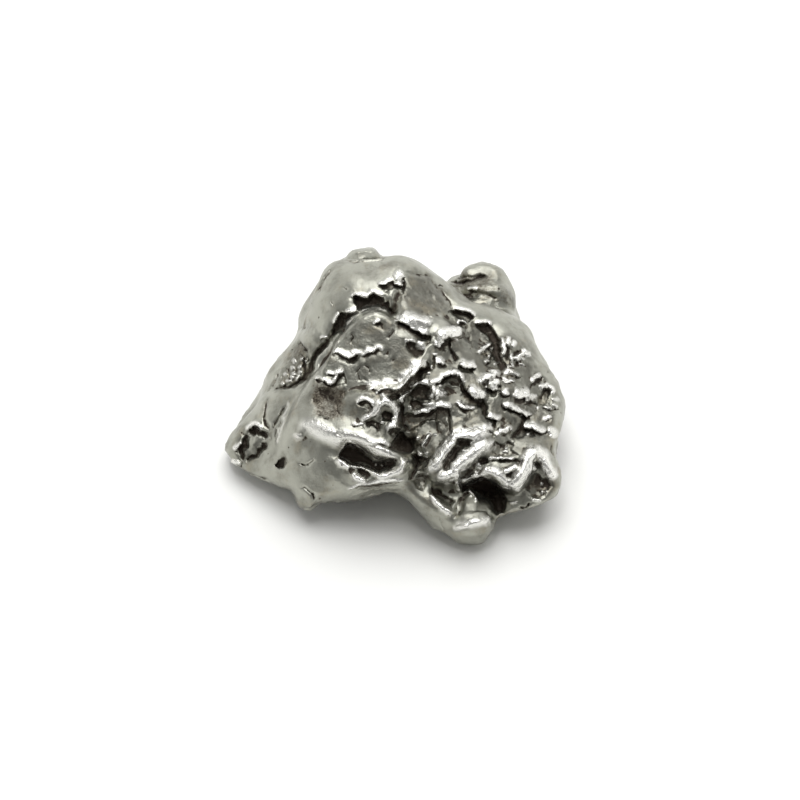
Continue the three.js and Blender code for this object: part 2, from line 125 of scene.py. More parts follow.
# Places on the face that are rough all over, each as a loop with how rough it is.
roughPlaces = [
    (1.0, [(4.3, 7.0), (6.1, 6.3), (7.6, 5.6), (8.3, 5.4), (9.6, 4.9), (10.6, 3.8), (11.7, 1.6), (12.4, -0.4),
           (12.2, -3.0), (9.2, -3.4), (7.2, -2.4), (4.6, -2.8), (2.6, -4.9), (1.2, -4.6), (-0.6, -3.2),
           (-1.4, -2.0), (-0.4, 0.2), (1.0, 1.6), (2.2, 3.2), (2.6, 4.6), (3.6, 5.4)]),
    (0.8, [(-3.9, -0.2), (-2.4, 0.6), (-0.2, 0.6), (0.2, -2.6), (-1.4, -3.0), (-3.8, -2.2)]),
    (0.7, [(2.2, -5.4), (4.2, -3.0), (7.4, -2.6), (12.0, -3.4), (12.6, -6.6), (11.0, -8.2), (5.2, -6.8),
           (2.6, -6.6)]),
    (0.5, [(-7.2, 0.6), (-5.2, 1.6), (-4.0, 0.6), (-4.4, -1.6), (-7.0, -1.6)]),
    (1.0, [(-8.3, 4.7), (-7.2, 4.4), (-7.2, 2.4), (-8.3, 1.2), (-10.0, 0.8), (-9.2, 3.0)]),
    (1.0, [(0.4, 10.2), (2.4, 9.8), (3.6, 8.3), (4.2, 7.2), (2.6, 6.7), (0.2, 7.0), (0.2, 8.6)]),
    (0.2, [(-6.3, 3.0), (-4.2, 6.0), (-2.8, 7.2), (-1.0, 7.2), (1.4, 5.2), (2.2, 4.0), (0.4, 1.4), (-4.0, 1.0),
           (-6.6, 1.6)]),
    (0.6, [(4.0, 9.3), (5.0, 10.4), (6.8, 10.6), (8.8, 9.2), (9.4, 7.4), (8.4, 7.4), (6.4, 8.0), (4.6, 8.5)]),
    (0.5, [(-13.2, -2.4), (-11.2, -1.8), (-10.5, -3.4), (-11.6, -4.9), (-13.2, -4.9)]),
]

# Places where a little oxide is left all over, each as a loop with how much; the strip along the lower-left edge is
# partly brown oxide and partly painted shade under that edge.
stainsAndShade = [
    (0.72, [(-7.1, 1.2), (-5.2, 1.4), (-4.2, 0.8), (-4.4, -1.6), (-5.6, -1.8), (-7.0, -1.2)]),
    (0.34, [(0.3, 10.0), (2.3, 9.8), (3.6, 8.3), (4.3, 7.1), (2.6, 6.7), (0.2, 7.0), (-0.2, 8.4)]),
    (0.24, [(-6.3, 3.0), (-4.2, 6.0), (-2.8, 7.2), (-1.0, 7.2), (1.4, 5.2), (2.2, 4.0), (0.4, 1.4), (-4.0, 1.0),
            (-6.6, 1.6)]),
    (0.52, [(-8.4, 4.7), (-7.4, 4.4), (-7.2, 2.4), (-8.3, 1.1), (-10.0, 0.8), (-9.3, 3.0)]),
    (0.55, [(-4.3, -7.4), (-3.0, -6.85), (-1.5, -6.7), (0.6, -6.6), (0.6, -7.4), (-1.5, -7.6), (-3.2, -7.9)]),
    # along the lower-left edge and under the tip: brown oxide, and painted shade under the edge
    (0.62, [(-13.3, -5.4), (-11.5, -5.9), (-9.6, -6.9), (-8.5, -7.8), (-8.6, -8.6), (-10.5, -7.6), (-13.2, -6.4)]),
    (0.58, [(4.0, 9.3), (5.0, 10.4), (6.8, 10.6), (8.6, 9.0), (9.3, 7.4), (8.4, 7.4), (6.4, 8.0), (4.6, 8.5)]),
    (0.38, [(0.8, -6.4), (2.4, -6.8), (4.2, -8.4), (4.4, -10.0), (3.4, -10.6), (1.8, -8.6)]),
    (0.30, [(-10.4, 0.6), (-8.9, 0.2), (-9.6, -2.4), (-10.6, -2.4)]),
    (0.27, [(-12.4, -5.0), (-10.3, -1.2), (-8.6, -3.6), (-6.0, -3.8), (-5.2, -5.2), (-3.6, -7.0), (-7.0, -8.2),
            (-9.5, -6.6)]),
    (0.34, [(-3.6, 11.6), (-1.4, 11.8), (0.0, 10.9), (-1.6, 9.9), (-3.8, 10.6)]),
]

# Hollows with steep walls: depth, width of the wall, and the loop of the rim.
pits = [
    # between the crest and the plate
    (0.85, 0.25, [(-3.6, 8.3), (-3.2, 8.25), (-2.6, 8.1), (-2.1, 8.5), (-1.8, 8.3), (-1.4, 8.2), (-1.3, 7.9),
                  (-0.9, 7.9), (-0.8, 7.4), (-0.4, 7.0), (-0.6, 6.85), (-1.0, 7.3), (-1.6, 7.5), (-2.2, 7.5),
                  (-2.9, 7.35), (-3.3, 7.2), (-3.6, 7.7)]),
    (0.40, 0.20, [(-1.5, 9.1), (-1.0, 9.1), (-0.6, 9.4), (-0.4, 9.2), (0.1, 9.1), (0.3, 9.3), (0.35, 8.4),
                  (0.2, 8.6), (-0.3, 8.9), (-0.8, 8.85), (-1.0, 8.5), (-1.2, 8.7)]),
    (0.85, 0.25, [(-5.4, 5.2), (-5.5, 5.6), (-5.2, 6.1), (-5.0, 6.3), (-4.75, 6.9), (-4.4, 6.9), (-4.2, 6.75),
                  (-3.4, 7.1), (-3.3, 7.05), (-3.8, 6.8), (-4.2, 6.4), (-4.4, 6.0), (-4.9, 5.5), (-5.2, 5.2)]),
    # on the plate
    (0.25, 0.15, [(-2.0, 6.0), (-1.7, 6.3), (-1.3, 6.2), (-1.4, 5.6), (-1.6, 5.7)]),
    (0.60, 0.25, [(0.4, 4.4), (0.6, 4.6), (1.1, 4.5), (1.55, 5.0), (2.0, 5.1), (2.4, 5.1), (2.4, 4.5), (2.1, 4.1),
                  (1.7, 3.6), (1.3, 3.45), (0.9, 3.7), (0.6, 4.0)]),
    (0.30, 0.20, [(-4.1, 3.1), (-3.7, 3.4), (-3.4, 3.6), (-3.45, 3.1), (-3.8, 2.9)]),
    (0.20, 0.15, [(-5.65, 3.6), (-5.4, 3.6), (-5.2, 3.4), (-5.45, 3.4)]),
    (0.20, 0.15, [(-1.2, 3.7), (-1.0, 3.95), (-0.85, 3.75), (-1.0, 3.6)]),
    (0.15, 0.12, [(-0.75, 3.15), (-0.5, 3.3), (-0.4, 3.1), (-0.6, 3.0)]),
    (0.35, 0.18, [(-6.8, 1.5), (-6.0, 1.5), (-5.8, 1.2), (-5.3, 1.2), (-4.9, 1.9), (-4.5, 2.1), (-4.3, 1.8),
                  (-4.3, 1.3), (-4.8, 1.15), (-5.5, 1.05), (-6.2, 1.05), (-6.6, 1.2)]),
    (0.60, 0.20, [(-1.1, 0.2), (-0.9, 0.42), (-0.5, 0.5), (0.0, 0.42), (0.05, 0.2), (-0.3, 0.0), (-0.8, 0.05)]),
    (0.35, 0.18, [(-3.3, -0.3), (-2.8, -0.1), (-2.4, -0.25), (-2.15, -0.55), (-2.5, -0.8), (-2.8, -0.5),
                  (-3.1, -0.5)]),
    (0.55, 0.20, [(-1.5, -1.1), (-1.2, -0.9), (-0.7, -1.1), (-0.7, -1.6), (-1.0, -1.7), (-1.4, -1.5)]),
    (0.50, 0.20, [(-2.7, -1.8), (-2.0, -1.65), (-1.6, -1.8), (-1.5, -2.0), (-1.7, -2.5), (-2.0, -2.2),
                  (-2.5, -2.0)]),
    (0.50, 0.20, [(-0.9, -2.7), (-0.6, -2.4), (-0.3, -2.5), (-0.2, -2.8), (-0.6, -2.95)]),
    # notch and arch at the head of the rough field
    (0.50, 0.22, [(4.2, 7.1), (4.6, 7.15), (5.1, 7.05), (5.6, 6.9), (6.0, 6.7), (5.7, 6.5), (5.4, 6.2), (5.3, 6.1),
                  (5.1, 6.3), (4.7, 6.5), (4.3, 6.8)]),
    (0.40, 0.20, [(4.6, 6.0), (4.9, 6.15), (5.2, 6.1), (5.35, 5.7), (5.2, 5.55), (4.9, 5.8)]),
    (0.60, 0.25, [(6.0, 6.0), (6.4, 6.0), (6.8, 5.95), (7.1, 6.05), (7.4, 5.7), (7.7, 5.2), (7.85, 4.8), (8.0, 4.3),
                  (7.95, 3.6), (8.2, 3.1), (8.4, 2.8), (8.5, 2.6), (8.2, 2.3), (7.9, 2.6), (7.7, 3.2), (7.4, 3.6),
                  (7.1, 4.0), (7.3, 4.3), (7.4, 4.6), (7.2, 5.0), (6.9, 5.4), (6.3, 5.6)]),
    (0.40, 0.18, [(9.0, 3.5), (9.1, 3.8), (9.4, 3.95), (9.6, 3.8), (9.5, 3.4), (9.2, 3.4)]),
    (0.35, 0.15, [(9.1, 2.7), (9.3, 3.05), (9.6, 2.9), (9.9, 2.7), (9.4, 2.65)]),
    (0.30, 0.18, [(6.6, 3.6), (6.9, 3.65), (7.1, 3.4), (6.9, 3.3)]),
    (0.25, 0.15, [(6.75, 2.8), (7.0, 2.95), (7.25, 2.95), (7.0, 2.7)]),
    (0.30, 0.18, [(5.1, 2.5), (5.8, 2.4), (5.9, 2.0), (5.4, 2.1)]),
    (0.20, 0.12, [(11.6, 2.2), (11.9, 2.3), (12.0, 2.0), (11.7, 1.9)]),
    # the middle of the rough field
    (0.60, 0.22, [(0.75, 0.65), (1.2, 0.9), (1.5, 1.1), (2.0, 1.15), (2.4, 1.05), (2.45, 0.8), (2.05, 0.55),
                  (2.3, 0.05), (1.6, 0.05), (1.0, 0.1)]),
    (0.50, 0.22, [(3.1, 1.35), (3.5, 1.8), (4.0, 2.05), (4.4, 1.9), (4.8, 1.6), (4.7, 1.2), (4.2, 1.2), (3.8, 1.35),
                  (3.4, 1.2)]),
    (0.50, 0.20, [(0.9, -0.05), (1.3, -0.05), (1.7, -0.4), (1.9, -0.6), (1.6, -0.8), (1.1, -0.85), (0.85, -0.4)]),
    (0.45, 0.25, [(0.3, -1.1), (1.1, -1.15), (2.0, -1.1), (3.0, -0.75), (3.8, -0.6), (4.0, -1.2), (3.9, -1.8),
                  (4.0, -2.4), (3.6, -2.2), (3.0, -1.6), (2.2, -1.6), (1.4, -2.2), (0.8, -2.5), (0.4, -2.0)]),
    (0.45, 0.18, [(6.0, -0.1), (6.3, 0.05), (6.8, -0.05), (6.95, -0.4), (6.9, -1.0), (6.95, -1.55), (6.7, -1.1),
                  (6.5, -0.7), (6.2, -0.5)]),
    (0.40, 0.18, [(6.7, 1.15), (6.9, 1.3), (7.1, 0.95), (7.4, 0.8), (7.7, 1.0), (7.5, 0.7), (7.2, 0.5),
                  (6.95, 0.7)]),
    (0.50, 0.22, [(11.6, 1.0), (11.8, 0.9), (12.1, 0.7), (12.0, 0.4), (11.9, 0.1), (11.6, -0.3), (11.4, -0.5),
                  (11.0, -0.4), (11.0, 0.1), (11.3, 0.4), (11.5, 0.8)]),
    (0.40, 0.18, [(9.9, -0.4), (10.2, -0.2), (10.5, -0.05), (10.9, -0.2), (11.2, -0.5), (10.9, -0.8), (10.7, -1.0),
                  (10.5, -0.6), (10.2, -0.4)]),
    (0.35, 0.18, [(7.1, -1.6), (7.4, -1.55), (7.6, -1.7), (7.7, -1.9), (7.7, -2.2), (7.4, -2.2), (7.3, -1.9)]),
    (0.50, 0.22, [(9.2, -2.9), (9.6, -2.4), (9.8, -2.25), (10.4, -2.3), (10.2, -2.7), (9.8, -3.0), (9.3, -3.1)]),
    (0.40, 0.18, [(10.5, -2.5), (10.7, -2.3), (10.75, -2.9), (10.3, -3.0)]),
    (0.40, 0.18, [(7.0, -2.4), (7.2, -2.4), (7.4, -2.6), (7.4, -3.0), (7.1, -2.8)]),
    # beside and below the leaf-shaped pit
    (0.70, 0.30, [(-0.9, -3.9), (-0.5, -3.3), (-0.2, -3.0), (0.0, -2.6), (0.3, -2.7), (0.5, -3.1), (1.0, -3.0),
                  (1.1, -3.6), (0.9, -4.1), (0.0, -4.1)]),
    (0.78, 0.28, [(-4.8, -4.5), (-4.3, -3.5), (-4.0, -3.5), (-3.0, -4.2), (-2.4, -4.7), (-2.2, -5.0), (-1.7, -5.05),
                  (-1.4, -4.8), (-0.3, -4.8), (-0.5, -5.2), (-1.0, -5.6), (-1.5, -5.75), (-2.0, -5.7), (-2.8, -5.3),
                  (-3.4, -5.1), (-4.0, -5.05), (-4.5, -4.8)]),
    (0.40, 0.18, [(-3.35, -5.5), (-3.0, -5.5), (-2.5, -5.8), (-2.4, -6.0), (-2.7, -6.3), (-3.1, -6.1)]),
    (0.65, 0.30, [(1.2, -4.5), (1.9, -4.5), (2.2, -4.6), (2.2, -5.2), (1.8, -5.6), (1.2, -5.6), (1.0, -5.0)]),
    (0.42, 0.30, [(1.1, -6.3), (1.6, -5.9), (2.3, -6.1), (2.5, -6.5), (2.1, -6.8), (1.9, -7.2), (1.4, -7.0)]),
    # between the ridges, and the cave under them
    (0.50, 0.22, [(3.5, -5.6), (3.5, -5.0), (3.6, -4.6), (3.9, -4.2), (4.2, -3.8), (4.6, -3.2), (5.2, -3.1),
                  (5.7, -3.2), (5.6, -3.6), (5.2, -3.7), (4.8, -4.0), (4.4, -4.5), (4.0, -5.0), (3.9, -5.5)]),
    (0.55, 0.22, [(5.0, -6.2), (5.2, -5.7), (5.4, -5.3), (5.9, -4.9), (6.3, -4.6), (6.9, -4.5), (7.0, -4.9),
                  (6.6, -5.2), (6.6, -5.6), (6.3, -5.9), (5.9, -5.8), (5.7, -6.0), (5.3, -6.3)]),
    (0.38, 0.20, [(7.25, -3.8), (7.7, -3.4), (8.1, -3.6), (8.6, -3.3), (9.1, -3.5), (8.85, -4.0), (9.4, -4.5),
                  (8.4, -4.4), (7.7, -4.55), (7.4, -4.3)]),
    (0.40, 0.18, [(8.5, -6.0), (8.8, -5.75), (9.2, -5.4), (9.5, -4.9), (9.8, -4.8), (9.6, -5.3), (9.3, -5.8),
                  (9.05, -6.4), (8.8, -6.2)]),
    (0.35, 0.15, [(10.8, -5.1), (10.95, -4.9), (11.1, -5.2), (11.1, -5.5), (10.9, -5.4)]),
    (0.48, 0.30, [(9.95, -7.0), (10.3, -6.7), (10.6, -6.15), (11.0, -5.9), (11.4, -6.3), (11.9, -6.4), (12.1, -6.9),
                  (11.8, -7.3), (11.6, -7.7), (11.0, -7.9), (10.6, -7.7), (10.2, -7.3)]),
    (1.20, 0.35, [(4.9, -6.75), (5.4, -6.7), (6.0, -6.45), (6.4, -6.2), (6.8, -6.3), (7.3, -6.8), (7.8, -7.2),
                  (8.2, -7.6), (8.5, -7.9), (8.3, -8.2), (8.35, -8.6), (8.2, -9.0), (7.8, -9.1), (7.4, -8.8),
                  (7.3, -8.3), (7.0, -7.9), (6.5, -7.7), (6.1, -7.3), (5.6, -7.0), (5.0, -7.2)]),
    (0.40, 0.25, [(4.35, -9.4), (4.4, -8.6), (4.8, -7.8), (5.2, -7.25), (5.5, -7.4), (5.2, -8.1), (4.9, -8.8),
                  (4.6, -9.4)]),
    (0.50, 0.22, [(2.5, -7.0), (3.1, -7.2), (3.6, -7.6), (4.3, -8.0), (4.1, -8.5), (3.7, -8.3), (3.0, -7.7),
                  (2.6, -7.5)]),
    # the left tip, and the pocket above it
    (0.24, 0.28, [(-12.9, -2.55), (-12.3, -2.7), (-11.9, -2.4), (-11.55, -2.1), (-11.35, -2.5), (-10.9, -2.6),
                  (-10.4, -2.5), (-10.3, -3.2), (-10.7, -3.8), (-11.2, -4.3), (-11.6, -4.8), (-12.1, -5.1),
                  (-12.7, -5.2), (-13.0, -4.6), (-13.2, -4.1), (-12.7, -3.6), (-12.6, -3.0)]),
    (0.70, 0.28, [(-10.0, -5.2), (-9.65, -4.75), (-9.2, -4.65), (-9.1, -5.0), (-9.35, -5.35), (-9.75, -5.45)]),
    (0.22, 0.25, [(-8.3, 4.6), (-8.0, 4.65), (-7.5, 4.2), (-7.1, 3.5), (-7.15, 2.7), (-7.3, 2.0), (-7.8, 1.4),
                  (-8.4, 1.05), (-9.2, 1.0), (-9.9, 0.9), (-9.6, 1.5), (-9.4, 2.2), (-9.0, 3.2), (-8.7, 4.0)]),
    (0.28, 0.18, [(5.2, 8.4), (5.8, 8.8), (6.2, 8.85), (6.9, 8.6), (7.4, 8.6), (8.0, 8.2), (7.2, 8.1), (6.0, 8.1)]),
]

# Lips: the metal rises to an edge along the path and drops off on its right hand. Drop, run and path.
lips = [
    (0.35, 0.45, [(-3.9, 8.2), (-3.5, 8.35), (-3.2, 8.3), (-2.6, 8.2), (-2.15, 8.55), (-1.8, 8.35), (-1.3, 8.25)]),
    (0.30, 0.40, [(-4.4, 6.95), (-3.9, 7.0), (-3.4, 7.15)]),
    (0.30, 0.35, [(-5.25, 6.1), (-5.05, 6.55), (-4.8, 6.95)]),
    (0.25, 0.30, [(-6.5, 4.85), (-6.1, 4.95), (-5.75, 4.95)]),
    (0.30, 0.45, [(-1.75, 9.25), (-1.2, 9.2), (-0.9, 9.45), (-0.55, 9.65)]),
    (0.35, 0.45, [(-0.5, 9.35), (-0.2, 9.15), (0.1, 9.15), (0.35, 9.5)]),
    (0.55, 1.00, [(-0.45, 6.4), (0.1, 6.15), (0.6, 5.95), (1.2, 5.55), (1.75, 5.25), (2.3, 5.2)]),
    (0.50, 0.90, [(2.65, 4.35), (3.1, 4.3), (3.5, 4.6), (3.85, 4.95), (4.4, 5.1), (4.95, 4.95)]),
    (0.22, 0.30, [(0.35, 4.6), (0.8, 4.6), (1.2, 4.65)]),
    (0.22, 0.25, [(1.35, 4.0), (1.7, 4.0), (2.1, 4.1)]),
    (0.25, 0.25, [(2.55, 3.6), (2.75, 3.6), (2.95, 3.65)]),
    (0.38, 0.55, [(2.8, 2.9), (3.1, 3.05), (3.4, 2.85), (3.7, 2.95)]),
    (0.42, 0.70, [(4.7, 2.85), (5.2, 2.6), (5.6, 2.55), (6.1, 2.6)]),
    (0.40, 0.45, [(4.25, 7.2), (4.9, 7.2), (5.5, 7.05), (6.1, 6.7)]),
    (0.25, 0.30, [(4.55, 6.05), (4.9, 6.25), (5.25, 6.1)]),
    (0.30, 0.35, [(6.0, 6.15), (6.6, 6.15), (7.0, 6.2), (7.4, 5.95)]),
    (0.22, 0.30, [(-2.15, 6.05), (-1.9, 6.2), (-1.6, 6.35)]),
    (0.36, 0.50, [(-5.4, 3.65), (-4.85, 3.75), (-4.5, 3.5), (-4.1, 3.35), (-3.75, 3.45), (-3.5, 3.75),
                  (-3.1, 3.6)]),
    (0.30, 0.45, [(-3.15, 3.6), (-2.8, 3.6), (-2.45, 3.85), (-2.1, 3.8), (-1.8, 4.05), (-1.35, 4.0)]),
    (0.35, 0.40, [(-7.0, 1.6), (-6.3, 1.55), (-5.95, 1.5), (-5.7, 1.25), (-5.3, 1.3), (-5.0, 1.75), (-4.85, 2.1),
                  (-4.4, 2.2)]),
    (0.20, 0.30, [(-5.9, 2.1), (-5.4, 2.05), (-4.9, 2.15)]),
    (0.50, 0.95, [(-2.6, 0.7), (-2.2, 0.95), (-1.6, 0.75), (-1.0, 0.95), (-0.4, 0.8), (0.1, 1.0), (0.45, 1.3),
                  (0.7, 1.7), (1.2, 2.05), (1.45, 2.55), (2.0, 2.75), (2.25, 3.15)]),
    (0.30, 0.35, [(-3.45, -0.25), (-3.0, -0.02), (-2.7, 0.0), (-2.3, -0.2), (-2.0, -0.55)]),
    (0.40, 0.40, [(0.75, 1.0), (1.2, 1.25), (1.6, 1.35), (2.2, 1.3), (2.7, 1.4), (3.1, 1.45), (3.4, 1.75),
                  (4.0, 2.1), (4.5, 2.1), (4.85, 1.75), (5.1, 1.3)]),
    (0.40, 0.45, [(1.05, -1.1), (1.6, -1.1), (2.1, -1.0), (2.6, -0.8), (3.0, -0.55), (3.5, -0.5), (4.1, -0.6)]),
    (0.28, 0.45, [(4.4, -0.2), (4.7, -0.4), (5.1, -0.65), (5.6, -0.8), (6.0, -0.72)]),
    (0.45, 0.70, [(6.75, 1.0), (7.1, 0.9), (7.45, 0.78), (7.85, 1.0)]),
    (0.45, 0.90, [(5.25, 0.95), (5.5, 0.45), (5.9, 0.1), (6.4, 0.12), (6.9, 0.05)]),
    (0.35, 0.60, [(6.3, 1.35), (6.8, 1.6), (7.4, 1.75), (8.1, 1.75)]),
    (0.40, 0.65, [(8.05, 0.6), (8.3, 0.38), (8.75, 0.48)]),
    (0.42, 0.95, [(8.9, 0.3), (9.3, 0.2), (9.7, 0.12), (10.0, 0.25), (10.4, 0.3)]),
    (0.25, 0.35, [(8.15, 1.65), (8.5, 1.4), (8.9, 1.4), (9.25, 1.6)]),
    (0.38, 0.50, [(8.1, -0.45), (8.5, -0.62), (8.8, -0.62), (9.1, -0.78), (9.4, -0.98), (9.9, -1.2), (10.2, -1.32),
                  (10.55, -1.1)]),
    (0.38, 0.55, [(6.95, -1.4), (7.3, -1.5), (7.6, -1.55), (7.85, -1.75)]),
    (0.45, 0.60, [(9.75, -2.15), (10.1, -2.28), (10.5, -2.22), (10.8, -2.42), (11.2, -2.62), (11.65, -2.4)]),
    (0.20, 0.25, [(11.45, -1.65), (11.8, -1.5), (12.1, -1.35)]),
    (0.22, 0.25, [(-3.8, -1.9), (-3.4, -2.02), (-2.9, -2.0)]),
    (0.30, 0.35, [(1.2, -4.35), (1.5, -4.48), (1.85, -4.38)]),
    (0.25, 0.30, [(5.4, 8.88), (5.8, 8.85), (6.3, 8.95)]),
    (0.22, 0.35, [(-4.2, -7.25), (-3.1, -6.85), (-2.2, -6.7), (-1.4, -6.55), (0.4, -6.45)]),
    (0.30, 0.45, [(-2.6, -3.55), (-2.0, -3.45), (-1.6, -3.4), (-0.95, -3.75), (-0.6, -3.65)]),
]

